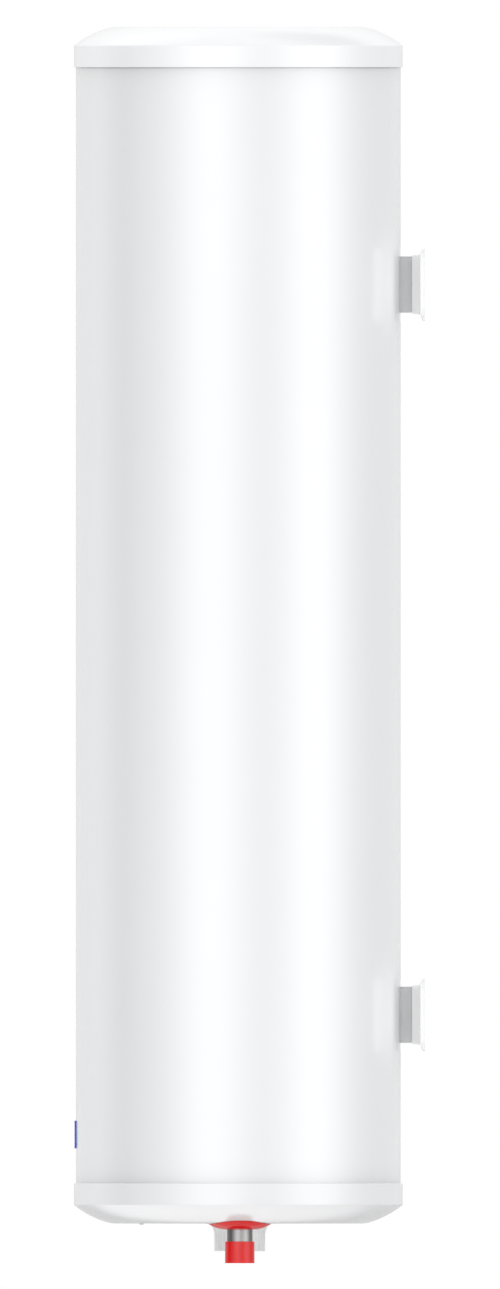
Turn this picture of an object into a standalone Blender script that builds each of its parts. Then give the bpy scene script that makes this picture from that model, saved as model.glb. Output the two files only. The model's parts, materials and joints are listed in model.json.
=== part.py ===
"""Slim wall-hung electric storage water heater of about 36 litres.

Metres, +Z up. The world origin is on the wall, at the middle of the upper wall bracket. +Y points
into the wall, the heater's front faces -Y, and its hot pipe is on the +X side. Every piece hangs
from the empty "heater", which stands on the tank's axis, level with the flat underside.
"""

import math

import bmesh
import bpy
from mathutils import Matrix, Vector

# Driving dimensions
JACKET_RADIUS = 0.135
BODY_HEIGHT = 0.9943
WALL_TO_AXIS = 0.155
UPPER_BRACKET_HEIGHT = 0.7803
LOWER_BRACKET_HEIGHT = 0.1735
PIPE_SPACING = 0.175
PIPE_RADIUS = 0.01065
TANK_RADIUS = 0.117

GAP = 0.0003
ROUND_SIDES = 48
HIDDEN_SIDES = 24
BOLT_HOLE_SIDES = 8
CUTTER_PHASE = 0.3  # keeps a cutter's corners off the edges of what it cuts
SMALL_SIDES = 12

# Jacket and covers
JACKET_THICKNESS = 0.0008
COVER_RADIUS = JACKET_RADIUS + 0.00165
COVER_FLAT_RADIUS = 0.1055
COVER_SHOULDER_RISE = 0.0155
COVER_SKIRT_END = 0.0335
COVER_LEDGE = 0.019
COVER_LEDGE_RADIUS = JACKET_RADIUS - 0.0013
COVER_SHOULDER_ARC = 0.081
COVER_WALL = 0.0024
BADGE_HALF_WIDTH = 0.0116
BADGE_HEIGHTS = (0.0624, 0.0856)

# Tank
TANK_WALL = 0.0015
TANK_LOW = 0.140
TANK_HIGH = 0.935
WELD_FLANGE = 0.010
DOME_DEPTH = 0.042
COLLAR_RADIUS = 0.031
COLLAR_BORE = 0.0286
FLANGE_RADIUS = 0.052
FLANGE_BOLT_CIRCLE = 0.043
FLANGE_BOLTS = 6
FLANGE_BOLT_RADIUS = 0.0029
FLANGE_HOLE_RADIUS = 0.0033
FLANGE_PLATE_LOW = 0.082
FLANGE_PLATE_HIGH = 0.0849
GASKET_HIGH = 0.0877
COLLAR_RING_HIGH = 0.093
FOAM_LOW = 0.070

# Pipes, their caps and their covers
SERVICE_Y = 0.0012
PIPE_BORE = 0.008
PIPE_END = -0.0285
THREAD_RADIUS = 0.01048
THREAD_LENGTH = 0.0145
CAP_RADIUS = 0.0123
CAP_TOP = -0.0155
CAP_BOTTOM = -0.0329
ROSETTE_RADIUS = 0.0266
ROSETTE_DEPTH = 0.0054

# Knob
KNOB_RADIUS = 0.0213
KNOB_SKIRT_RADIUS = 0.0248
KNOB_HEIGHT = 0.0229
KNOB_FLUTES = 18
FLUTE_DEPTH = 0.0004
SPINDLE_RADIUS = 0.003

# Heating elements, around the middle of the flange
ELEMENT_RADIUS = 0.00425
ELEMENT_HALF_WIDTH = 0.014
ELEMENT_Y = 0.0105
ELEMENT_PIN_END = 0.066
ANODE_Y = 0.020
THERMOWELL_RADIUS = 0.0045

# Wall brackets
ARM_HALF_WIDTH = 0.015
ARM_HALF_HEIGHT = 0.0239
ARM_WALL = 0.002
CUP_DEPTH = 0.0104
CUP_FLOOR = 0.0015
ARM_MOUTH_HALF_WIDTH = 0.0072
BRACKET_BOLT_X = 0.0102
SADDLE_THICKNESS = 0.002
SADDLE_HALF_HEIGHT = 0.040
SADDLE_STEPS = 3

# Bottom of the casing, seen from below
GLAND_PLACE = (-0.044, 0.0)
LAMP_PLACE = (0.0, -0.0805)
COVER_SCREW_CIRCLE = 0.098
COVER_SCREW_ANGLES = (52, 232)

# Electrics shelf under the flange
SHELF_LOW = 0.0328
SHELF_HIGH = 0.034
SHEET = 0.0012
RESET_X = 0.029
CAPILLARY_Y = 0.012


def clear_scene():
    for obj in list(bpy.data.objects):
        bpy.data.objects.remove(obj, do_unlink=True)


def make_material(name, colour, roughness, metallic=0.0):
    material = bpy.data.materials.new(name)
    material.use_nodes = True
    shader = material.node_tree.nodes["Principled BSDF"]
    shader.inputs["Base Color"].default_value = (*colour, 1.0)
    shader.inputs["Roughness"].default_value = roughness
    shader.inputs["Metallic"].default_value = metallic
    return material


clear_scene()

ENAMEL = make_material("white_enamel", (0.86, 0.87, 0.88), 0.25)
WHITE_PLASTIC = make_material("white_plastic", (0.85, 0.86, 0.87), 0.35)
GREY_PAINT = make_material("grey_paint", (0.42, 0.42, 0.43), 0.5)
GREY_PLASTIC = make_material("grey_plastic", (0.62, 0.62, 0.63), 0.4)
RED_PLASTIC = make_material("red_plastic", (0.62, 0.008, 0.008), 0.35)
BLUE_PLASTIC = make_material("blue_plastic", (0.015, 0.06, 0.42), 0.35)
BADGE_BLUE = make_material("badge_blue", (0.02, 0.07, 0.42), 0.25)
LENS = make_material("amber_lens", (0.75, 0.35, 0.08), 0.15)
STEEL = make_material("steel", (0.55, 0.55, 0.54), 0.35, 1.0)
COPPER = make_material("copper_sheath", (0.65, 0.33, 0.2), 0.35, 1.0)
TANK_ENAMEL = make_material("tank_enamel", (0.05, 0.09, 0.16), 0.3)
MAGNESIUM = make_material("magnesium", (0.6, 0.6, 0.58), 0.5, 1.0)
FOAM = make_material("foam", (0.75, 0.66, 0.42), 0.9)
RUBBER = make_material("rubber", (0.03, 0.03, 0.03), 0.8)
DARK_PLASTIC = make_material("dark_plastic", (0.04, 0.04, 0.04), 0.5)
BROWN_WIRE = make_material("brown_wire", (0.16, 0.06, 0.02), 0.5)
BLUE_WIRE = make_material("blue_wire", (0.02, 0.1, 0.5), 0.5)
GREEN_WIRE = make_material("green_wire", (0.12, 0.4, 0.04), 0.5)

HEATER = bpy.data.objects.new("heater", None)
HEATER.location = (0, -WALL_TO_AXIS, -UPPER_BRACKET_HEIGHT)
bpy.context.scene.collection.objects.link(HEATER)


# Modelling helpers


def place(obj, location=(0, 0, 0), turn=0.0):
    """Hangs the object from the heater, turned by this many degrees about its own Z axis."""
    bpy.context.scene.collection.objects.link(obj)
    obj.parent = HEATER
    obj.location = location
    obj.rotation_euler.z = math.radians(turn)
    return obj


def from_bmesh(name, bm, material, location=(0, 0, 0), turn=0.0):
    bmesh.ops.recalc_face_normals(bm, faces=bm.faces)
    mesh = bpy.data.meshes.new(name)
    bm.to_mesh(mesh)
    bm.free()
    mesh.shade_smooth()
    mesh.set_sharp_from_angle(angle=math.radians(35))
    obj = bpy.data.objects.new(name, mesh)
    if material:
        mesh.materials.append(material)
    return place(obj, location, turn)


def join_rings(bm, ring, following):
    """Faces between two rings of vertices; a ring of one vertex is a point on the axis."""
    count = max(len(ring), len(following))
    if count == 1:
        return
    for i in range(count):
        after = (i + 1) % count
        if len(ring) == 1:
            bm.faces.new((ring[0], following[after], following[i]))
        elif len(following) == 1:
            bm.faces.new((ring[i], ring[after], following[0]))
        else:
            bm.faces.new((ring[i], ring[after], following[after], following[i]))


def add_turned(bm, profile, centre=(0, 0, 0), sides=SMALL_SIDES, flute=None, phase=0.0):
    """Adds a closed outline of (radius, height) points, turned about a vertical axis.

    The first corner of each ring is this share of a side round from +X.
    """
    rings = []
    for radius, height in profile:
        if radius < 1e-7:
            rings.append([bm.verts.new(Vector(centre) + Vector((0, 0, height)))])
            continue
        ring = []
        for i in range(sides):
            angle = math.tau * (i + phase) / sides
            out = radius + (flute(angle, radius) if flute else 0.0)
            offset = Vector((out * math.cos(angle), out * math.sin(angle), height))
            ring.append(bm.verts.new(Vector(centre) + offset))
        rings.append(ring)
    for ring, following in zip(rings, rings[1:] + rings[:1]):
        join_rings(bm, ring, following)


def turned(name, profile, material, location=(0, 0, 0), sides=SMALL_SIDES, flute=None):
    bm = bmesh.new()
    add_turned(bm, profile, sides=sides, flute=flute)
    return from_bmesh(name, bm, material, location)


def rod(radius, low, high):
    """The outline of a solid cylinder."""
    return [(0, low), (radius, low), (radius, high), (0, high)]


def tube(outer, inner, low, high):
    """The outline of a hollow cylinder."""
    return [(outer, low), (outer, high), (inner, high), (inner, low)]


def add_box(bm, low, high):
    low, high = Vector(low), Vector(high)
    size = high - low
    matrix = Matrix.Translation((low + high) / 2) @ Matrix.Diagonal((*size, 1.0))
    bmesh.ops.create_cube(bm, size=1.0, matrix=matrix)


def boxes(name, spans, material, bevel=0.0, turn=0.0):
    """One object of the boxes between these low and high corners, with softened edges."""
    bm = bmesh.new()
    for low, high in spans:
        add_box(bm, low, high)
    obj = from_bmesh(name, bm, material, turn=turn)
    if bevel:
        edge = obj.modifiers.new("soft_edges", "BEVEL")
        edge.width = bevel
        edge.segments = 1
    return obj


def helper(obj):
    """Turns an object into a hidden cutter or addition."""
    obj.hide_render = True
    obj.display_type = "WIRE"
    return obj


def combine(obj, other, operation):
    modifier = obj.modifiers.new(other.name, "BOOLEAN")
    modifier.object = helper(other)
    modifier.operation = operation
    modifier.solver = "EXACT"
    return obj


def cut(obj, cutter):
    return combine(obj, cutter, "DIFFERENCE")


def fuse(obj, addition):
    return combine(obj, addition, "UNION")


def holes(name, places, turn=0.0, sides=SMALL_SIDES):
    """A cutter of several turned outlines, each at its own (x, y)."""
    bm = bmesh.new()
    for (x, y), profile in places:
        add_turned(bm, profile, (x, y, 0), sides=sides, phase=CUTTER_PHASE)
    return from_bmesh(name, bm, None, turn=turn)


def wire(name, points, material, radius=0.0013, radii=None, smooth=True):
    """A round lead or rod along its points: a smooth curve through the air, or a plain chain."""
    curve = bpy.data.curves.new(name, "CURVE")
    curve.dimensions = "3D"
    curve.bevel_depth = radius
    curve.bevel_resolution = 2
    curve.use_fill_caps = True
    spline = curve.splines.new("NURBS" if smooth else "POLY")
    spline.points.add(len(points) - 1)
    for i, point in enumerate(points):
        spline.points[i].co = (*point, 1.0)
        spline.points[i].radius = radii[i] if radii else 1.0
    if smooth:
        spline.order_u = 4
        spline.use_endpoint_u = True
        curve.resolution_u = 3
    curve.materials.append(material)
    return place(bpy.data.objects.new(name, curve))


def on_circle(radius, degrees):
    angle = math.radians(degrees)
    return (radius * math.cos(angle), radius * math.sin(angle))


# Jacket and covers


def shoulder_centre():
    """Centre, as (radius, height), of the arc from the flat underside to the skirt."""
    start = Vector((COVER_FLAT_RADIUS, 0.0))
    end = Vector((COVER_RADIUS, COVER_SHOULDER_RISE))
    chord = end - start
    inwards = Vector((-chord.y, chord.x)).normalized()
    return (start + end) / 2 + inwards * math.sqrt(
        COVER_SHOULDER_ARC**2 - chord.length_squared / 4
    )


SHOULDER_CENTRE = shoulder_centre()


def cover_height(radius, wall=0.0):
    """Height of the cover's surface at a radius, or of the surface this far inside it."""
    if radius < COVER_FLAT_RADIUS:
        return wall
    across = radius - SHOULDER_CENTRE.x
    arc = COVER_SHOULDER_ARC - wall
    return SHOULDER_CENTRE.y - math.sqrt(arc**2 - across**2)


def shoulder(end_radius, wall, steps):
    """Points from the edge of the flat face out along the shoulder."""
    points = []
    for i in range(steps + 1):
        radius = COVER_FLAT_RADIUS + i / steps * (end_radius - COVER_FLAT_RADIUS)
        points.append((radius, cover_height(radius, wall)))
    return points


def cover_profile():
    """The cover's outline: centre of the flat face, shoulder, skirt, and back inside."""
    outside = shoulder(COVER_RADIUS, 0.0, 5)
    inside = shoulder(COVER_LEDGE_RADIUS, COVER_WALL, 3)
    skirt_bore = JACKET_RADIUS + GAP
    skirt = [
        (COVER_RADIUS, COVER_SKIRT_END),
        (skirt_bore, COVER_SKIRT_END),
        (skirt_bore, COVER_LEDGE),
        (COVER_LEDGE_RADIUS, COVER_LEDGE),
    ]
    return [(0, 0), *outside, *skirt, *reversed(inside), (0, COVER_WALL)]


def upside_down(profile):
    return [(radius, BODY_HEIGHT - height) for radius, height in profile]


def bracket_windows(name, half_width, half_height):
    """Cutter for the two windows that the bracket arms pass through."""
    spans = []
    for height in (LOWER_BRACKET_HEIGHT, UPPER_BRACKET_HEIGHT):
        low = (-half_width, TANK_RADIUS - 0.02, height - half_height)
        high = (half_width, WALL_TO_AXIS, height + half_height)
        spans.append((low, high))
    return boxes(name, spans, None)


def outer_jacket():
    inner = JACKET_RADIUS - JACKET_THICKNESS
    low = COVER_LEDGE + GAP
    profile = tube(JACKET_RADIUS, inner, low, BODY_HEIGHT - low)
    jacket = turned("outer_jacket", profile, ENAMEL, sides=ROUND_SIDES)
    return cut(
        jacket,
        bracket_windows(
            "jacket_windows", ARM_HALF_WIDTH + 0.0005, ARM_HALF_HEIGHT + 0.0005
        ),
    )


def top_cover():
    profile = upside_down(cover_profile())
    return turned("top_cover", profile, WHITE_PLASTIC, sides=ROUND_SIDES)


SCREW_BOSS_TOP = 0.0192
SCREW_HEAD_SEAT = 0.0035


def bottom_cover():
    cover = turned("bottom_cover", cover_profile(), WHITE_PLASTIC, sides=ROUND_SIDES)
    screws = [on_circle(COVER_SCREW_CIRCLE, a) for a in COVER_SCREW_ANGLES]
    boss = rod(0.007, COVER_WALL / 2, SCREW_BOSS_TOP)
    fuse(cover, holes("screw_bosses", [(spot, boss) for spot in screws]))
    low, high = -0.01, 0.03
    counterbore = [
        (0, low),
        (0.0046, low),
        (0.0046, SCREW_HEAD_SEAT),
        (0.0021, SCREW_HEAD_SEAT),
        (0.0021, high),
        (0, high),
    ]
    places = [(spot, counterbore) for spot in screws]
    for side in (-1, 1):
        places.append(((side * PIPE_SPACING / 2, SERVICE_Y), rod(0.0112, low, high)))
    places.append(((0, SERVICE_Y), rod(0.004, low, high)))
    places.append((GLAND_PLACE, rod(0.0062, low, high)))
    places.append((LAMP_PLACE, rod(0.0025, low, high)))
    return cut(cover, holes("cover_holes", places))


def cover_screws():
    head_low = 0.0006
    head_high = SCREW_HEAD_SEAT - GAP
    outline = [
        (0, head_low),
        (0.0032, head_low),
        (0.004, head_low + 0.0009),
        (0.004, head_high),
        (0.0017, head_high),
        (0.0017, 0.026),
        (0, 0.026),
    ]
    for number, angle in enumerate(COVER_SCREW_ANGLES, 1):
        x, y = on_circle(COVER_SCREW_CIRCLE, angle)
        turned(f"cover_screw_{number}", outline, STEEL, (x, y, 0), sides=12)


def cover_tabs():
    """Steel angles inside the jacket that the cover's screws bite into."""
    low = SCREW_BOSS_TOP + GAP
    half_width = 0.007
    outside = 0.133
    shelf = ((0.088, -half_width, low), (outside, half_width, low + SHEET))
    upright = ((outside - SHEET, -half_width, low), (outside, half_width, 0.042))
    for number, angle in enumerate(COVER_SCREW_ANGLES, 1):
        tab = boxes(f"cover_tab_{number}", [shelf], STEEL, turn=angle)
        fuse(tab, boxes(f"tab_upright_{number}", [upright], None, turn=angle))
        hole = [((COVER_SCREW_CIRCLE, 0), rod(0.0021, 0.015, 0.025))]
        cut(tab, holes(f"tab_hole_{number}", hole, turn=angle))


def round_corner(middle, number):
    """A corner of the round with radius 1, counted in sides from an angle in degrees."""
    angle = math.radians(middle) + number * math.tau / ROUND_SIDES
    return Vector((math.cos(angle), math.sin(angle)))


def add_curved_plate(bm, inner, outer, middle, reach, low, high):
    """Adds a plate bent round the axis, reaching this many sides of the round each way."""
    whole = math.floor(reach)
    columns = []
    for place in sorted({-reach, *range(-whole, whole + 1), reach}):
        corner = math.floor(place)
        start, end = round_corner(middle, corner), round_corner(middle, corner + 1)
        x, y = start.lerp(end, place - corner)
        corners = ((outer, low), (outer, high), (inner, high), (inner, low))
        columns.append([bm.verts.new((r * x, r * y, z)) for r, z in corners])
    for column, following in zip(columns, columns[1:]):
        join_rings(bm, column, following)
    bm.faces.new(columns[0])
    bm.faces.new(columns[-1])


def front_badge():
    bm = bmesh.new()
    inner = JACKET_RADIUS + GAP
    side = 2 * JACKET_RADIUS * math.sin(math.pi / ROUND_SIDES)
    reach = BADGE_HALF_WIDTH / side
    add_curved_plate(bm, inner, JACKET_RADIUS + 0.0015, -90, reach, *BADGE_HEIGHTS)
    return from_bmesh("front_badge", bm, BADGE_BLUE)


# Tank


def dome(radius, depth, base, direction, opening, steps=4):
    """Half an ellipse from the barrel's edge in towards the axis, up to an opening."""
    points = []
    last = math.acos(opening / radius)
    for i in range(steps + 1):
        angle = last * i / steps
        height = base + direction * depth * math.sin(angle)
        points.append((radius * math.cos(angle), height))
    return points


def dome_shell(edge, base, direction, opening):
    """Outline of a tank end: its welding flange and dome, with the wall's thickness."""
    outside = dome(TANK_RADIUS, DOME_DEPTH, base, direction, opening)
    inner = TANK_RADIUS - TANK_WALL
    inside = dome(inner, DOME_DEPTH - TANK_WALL, base, direction, opening)
    return [(TANK_RADIUS, edge), *outside, *reversed(inside), (inner, edge)]


def pipe_holes(name, radius, low, high):
    places = []
    for side in (-1, 1):
        places.append(((side * PIPE_SPACING / 2, SERVICE_Y), rod(radius, low, high)))
    return holes(name, places)


def tank():
    low, high = TANK_LOW + WELD_FLANGE, TANK_HIGH - WELD_FLANGE
    inner = TANK_RADIUS - TANK_WALL
    barrel = tube(TANK_RADIUS, inner, low, high)
    turned("tank_barrel", barrel, TANK_ENAMEL, sides=HIDDEN_SIDES)
    top = dome_shell(high + GAP, TANK_HIGH, 1, 0.0)
    turned("tank_top_dome", top, TANK_ENAMEL, sides=HIDDEN_SIDES)
    bottom = dome_shell(low - GAP, TANK_LOW, -1, COLLAR_RADIUS + GAP)
    end = turned("tank_bottom_dome", bottom, TANK_ENAMEL, sides=HIDDEN_SIDES)
    cut(end, pipe_holes("dome_pipe_holes", 0.0112, 0.09, 0.15))


def insulation_foam():
    """One foamed body between the tank and the jacket, open under the service flange."""
    outer = JACKET_RADIUS - JACKET_THICKNESS - GAP
    ledge = BODY_HEIGHT - COVER_LEDGE - GAP
    lift = 2 * GAP
    edge = COVER_LEDGE_RADIUS - 2 * lift
    crown = [(outer, ledge), (edge, ledge)]
    for radius, height in reversed(shoulder(edge, COVER_WALL, 3)):
        crown.append((radius, BODY_HEIGHT - height - lift))
    around = TANK_RADIUS + GAP
    depth = DOME_DEPTH + GAP
    over = dome(around, depth, TANK_HIGH, 1, 0.0)
    under = dome(around, depth, TANK_LOW, -1, COLLAR_RADIUS + GAP)[:-1]
    mouth_radius = under[-1][0]
    profile = [
        (outer, FOAM_LOW),
        *crown,
        (0, BODY_HEIGHT - COVER_WALL - lift),
        *reversed(over),
        *under,
        (mouth_radius, FOAM_LOW),
    ]
    foam = turned("insulation_foam", profile, FOAM, sides=HIDDEN_SIDES)
    bm = bmesh.new()
    recess = SADDLE_HALF_HEIGHT + 0.001
    for height in (LOWER_BRACKET_HEIGHT, UPPER_BRACKET_HEIGHT):
        low, high = height - recess, height + recess
        outside = TANK_RADIUS + SADDLE_THICKNESS + 3 * GAP
        add_curved_plate(bm, 0.112, outside, 90, SADDLE_STEPS + 1, low, high)
    cut(foam, from_bmesh("saddle_recesses", bm, None))
    half_width, half_height = ARM_HALF_WIDTH + GAP, ARM_HALF_HEIGHT + GAP
    cut(foam, bracket_windows("foam_windows", half_width, half_height))
    return cut(foam, pipe_holes("foam_pipe_holes", 0.0112, 0.06, 0.12))


def flange_bolt_holes(low, high):
    spacing = 360 / FLANGE_BOLTS
    places = [on_circle(FLANGE_BOLT_CIRCLE, i * spacing) for i in range(FLANGE_BOLTS)]
    return [(spot, rod(FLANGE_HOLE_RADIUS, low, high)) for spot in places]


def flange():
    neck_top = 0.106
    ring_low = GASKET_HIGH + GAP
    collar = [
        (COLLAR_BORE, ring_low),
        (FLANGE_RADIUS, ring_low),
        (FLANGE_RADIUS, COLLAR_RING_HIGH),
        (COLLAR_RADIUS, COLLAR_RING_HIGH),
        (COLLAR_RADIUS, neck_top),
        (COLLAR_BORE, neck_top),
    ]
    ring = turned("flange_collar", collar, STEEL, sides=HIDDEN_SIDES)
    places = flange_bolt_holes(0.08, 0.1)
    cut(ring, holes("collar_holes", places, sides=BOLT_HOLE_SIDES))

    outline = tube(FLANGE_RADIUS, 0.0288, FLANGE_PLATE_HIGH + GAP, GASKET_HIGH)
    gasket = turned("flange_gasket", outline, RUBBER, sides=HIDDEN_SIDES)
    cut(gasket, holes("gasket_holes", places, sides=BOLT_HOLE_SIDES))

    outline = rod(FLANGE_RADIUS, FLANGE_PLATE_LOW, FLANGE_PLATE_HIGH)
    plate = turned("flange_plate", outline, STEEL, sides=HIDDEN_SIDES)
    cut(plate, holes("plate_bolt_holes", places, sides=BOLT_HOLE_SIDES))
    places = []
    for x in (-ELEMENT_HALF_WIDTH, ELEMENT_HALF_WIDTH):
        for y in (-ELEMENT_Y, ELEMENT_Y):
            places.append(((x, y), rod(ELEMENT_RADIUS + GAP, 0.08, 0.1)))
    places.append(((0, 0), rod(THERMOWELL_RADIUS + GAP, 0.08, 0.1)))
    places.append(((0, ANODE_Y), rod(0.0031, 0.08, 0.1)))
    cut(plate, holes("plate_fitting_holes", places))


def flange_bolts():
    """Hexagon bolts through the bracket, plate and gasket into the collar."""
    head_high = FLANGE_PLATE_LOW - GAP - SHEET - GAP
    shank = rod(FLANGE_BOLT_RADIUS, head_high - 0.002, 0.099)
    for number in range(1, FLANGE_BOLTS + 1):
        spacing = 360 / FLANGE_BOLTS
        x, y = on_circle(FLANGE_BOLT_CIRCLE, (number - 1) * spacing)
        head = rod(0.0058, head_high - 0.004, head_high)
        name = f"flange_bolt_{number}"
        bolt = turned(name, head, STEEL, (x, y, 0), sides=6)
        fuse(bolt, turned(f"{name}_shank", shank, None, (x, y, 0), sides=12))


def heating_element(name, y, top):
    """A hairpin of sheathed tube, with a thinner pin at each end under the flange."""
    x = ELEMENT_HALF_WIDTH
    turn_height = top - x
    up = [(-x, y, z) for z in (ELEMENT_PIN_END, 0.0785, 0.0786, turn_height)]
    bend = []
    for i in range(1, 8):
        angle = math.pi * (1 - i / 8)
        place_on_bend = (x * math.cos(angle), y, turn_height + x * math.sin(angle))
        bend.append(place_on_bend)
    down = [(-point[0], y, point[2]) for point in reversed(up)]
    points = up + bend + down
    pin = 0.47
    radii = [pin, pin, 1.0, 1.0] + [1.0] * len(bend) + [1.0, 1.0, pin, pin]
    wire(name, points, COPPER, ELEMENT_RADIUS, radii, smooth=False)


def anode_rod():
    outline = [
        (0, 0.076),
        (0.0028, 0.076),
        (0.0028, 0.096),
        (0.007, 0.096),
        (0.007, 0.330),
        (0, 0.330),
    ]
    turned("anode_rod", outline, MAGNESIUM, (0, ANODE_Y, 0))


def thermowell():
    bore = THERMOWELL_RADIUS - 0.001
    outline = [
        (bore, 0.079),
        (THERMOWELL_RADIUS, 0.079),
        (THERMOWELL_RADIUS, 0.300),
        (0, 0.300),
        (0, 0.299),
        (bore, 0.299),
    ]
    turned("thermowell", outline, COPPER)


# Pipes


def pipe_outline(end):
    """The pipe's outline from its threaded lower end up to this height."""
    return [
        (PIPE_BORE, PIPE_END),
        (THREAD_RADIUS, PIPE_END),
        (THREAD_RADIUS, PIPE_END + THREAD_LENGTH),
        (PIPE_RADIUS, PIPE_END + THREAD_LENGTH),
        (PIPE_RADIUS, end),
    ]


def pipes():
    stub_end = 0.135
    dip = 0.006
    dip_bore = 0.005
    dip_end = 0.945
    outline = pipe_outline(stub_end)
    outline += [(dip, stub_end), (dip, dip_end), (dip_bore, dip_end)]
    outline += [(dip_bore, stub_end - 0.003), (PIPE_BORE, stub_end - 0.003)]
    hot = (PIPE_SPACING / 2, SERVICE_Y, 0)
    turned("hot_outlet_pipe", outline, STEEL, hot, sides=24)
    end = 0.150
    outline = pipe_outline(end) + [(PIPE_BORE, end)]
    cold = (-PIPE_SPACING / 2, SERVICE_Y, 0)
    turned("cold_inlet_pipe", outline, STEEL, cold, sides=24)


def inlet_diffuser():
    """A cup over the cold pipe's end that turns the incoming water sideways."""
    x = -PIPE_SPACING / 2
    bore = PIPE_RADIUS + GAP
    outline = [
        (bore, 0.140),
        (0.014, 0.140),
        (0.014, 0.166),
        (0, 0.168),
        (0, 0.163),
        (bore, 0.163),
    ]
    cup = turned("inlet_diffuser", outline, WHITE_PLASTIC, (x, SERVICE_Y, 0), sides=24)
    slot = ((x - 0.02, SERVICE_Y - 0.004, 0.153), (x + 0.02, SERVICE_Y + 0.004, 0.160))
    return cut(cup, boxes("diffuser_slot", [slot], None))


def rosette(name, side, material):
    """A thin domed cover round the pipe, whose rim follows the bottom cover's shoulder."""
    centre = side * PIPE_SPACING / 2
    bore = PIPE_RADIUS + GAP
    thickness = 0.0012
    rim = -GAP
    outline = [
        (bore, -ROSETTE_DEPTH + thickness),
        (bore, -ROSETTE_DEPTH),
        (bore + 0.0018, -ROSETTE_DEPTH),
        (0.017, -0.0040),
        (0.022, -0.0024),
        (ROSETTE_RADIUS, rim - 0.0007),
        (ROSETTE_RADIUS, rim),
        (0.022, -0.0024 + thickness),
        (0.017, -0.0040 + thickness),
    ]
    bm = bmesh.new()
    add_turned(bm, outline, sides=24)
    for vertex in bm.verts:
        from_pipe = math.hypot(vertex.co.x, vertex.co.y)
        from_axis = math.hypot(vertex.co.x + centre, vertex.co.y + SERVICE_Y)
        share = (from_pipe - bore) / (ROSETTE_RADIUS - bore)
        vertex.co.z += share * cover_height(from_axis)
    return from_bmesh(name, bm, material, (centre, SERVICE_Y, 0))


def pipe_cap(name, side, material):
    """A push-on thread cap; its origin is on the pipe's axis, along which it pulls off."""
    bore = PIPE_RADIUS + 0.00015
    floor = CAP_BOTTOM + 0.0017
    edge = 0.0005
    outline = [
        (0, CAP_BOTTOM),
        (CAP_RADIUS - edge, CAP_BOTTOM),
        (CAP_RADIUS, CAP_BOTTOM + edge),
        (CAP_RADIUS, CAP_TOP),
        (bore, CAP_TOP),
        (bore, floor),
        (0, floor),
    ]
    place_on_pipe = (side * PIPE_SPACING / 2, SERVICE_Y, 0)
    return turned(name, outline, material, place_on_pipe, sides=24)


# Thermostat, lamp, gland and wiring


def thermostat_knob():
    """A fluted knob; its origin is on the spindle's axis."""

    def flute(angle, radius):
        if radius < KNOB_RADIUS - 0.0005:
            return 0.0
        return FLUTE_DEPTH * math.cos(KNOB_FLUTES * angle)

    bore = SPINDLE_RADIUS + GAP
    bore_end = -0.0145
    outline = [
        (bore, -GAP),
        (KNOB_SKIRT_RADIUS - FLUTE_DEPTH, -GAP),
        (KNOB_SKIRT_RADIUS - FLUTE_DEPTH, -0.0009),
        (0.0228, -0.0042),
        (KNOB_RADIUS, -0.0095),
        (KNOB_RADIUS, 0.0012 - KNOB_HEIGHT),
        (KNOB_RADIUS - 0.0012, -KNOB_HEIGHT),
        (0, -KNOB_HEIGHT),
        (0, bore_end),
        (bore, bore_end),
    ]
    location = (0, SERVICE_Y, 0)
    sides = 2 * KNOB_FLUTES
    return turned("thermostat_knob", outline, GREY_PLASTIC, location, sides, flute)


def thermostat():
    outline = rod(SPINDLE_RADIUS, -0.0141, 0.012)
    turned("thermostat_spindle", outline, STEEL, (0, SERVICE_Y, 0), sides=12)

    half_x, half_y = 0.017, 0.019
    low = (-half_x, SERVICE_Y - half_y, 0.008)
    high = (half_x, SERVICE_Y + half_y, SHELF_LOW - GAP)
    body = boxes("thermostat_body", [(low, high)], DARK_PLASTIC, bevel=0.0012)
    neck = rod(0.007, COVER_WALL + GAP, 0.012)
    fuse(body, holes("thermostat_neck", [((0, SERVICE_Y), neck)]))
    bore = rod(SPINDLE_RADIUS + GAP, -0.005, 0.013)
    cut(body, holes("thermostat_bore", [((0, SERVICE_Y), bore)]))


def thermostat_capillary():
    """A bulb inside the thermowell and the thin tube from it to the thermostat."""
    points = [(0, 0, z) for z in (0.290, 0.120, 0.1195, 0.070)]
    thin = 0.36
    radii = [1.0, 1.0, thin, thin]
    end = SHELF_LOW - GAP / 2
    bend_high, bend_low = 0.066, 0.042
    steps = 6
    for i in range(1, steps + 1):
        share = i / steps
        ease = share * share * (3 - 2 * share)
        height = bend_high + (bend_low - bend_high) * share
        points.append((0, CAPILLARY_Y * ease, height))
        radii.append(thin)
    points.append((0, CAPILLARY_Y, end))
    radii.append(thin)
    wire("thermostat_capillary", points, COPPER, 0.0028, radii, smooth=False)


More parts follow.
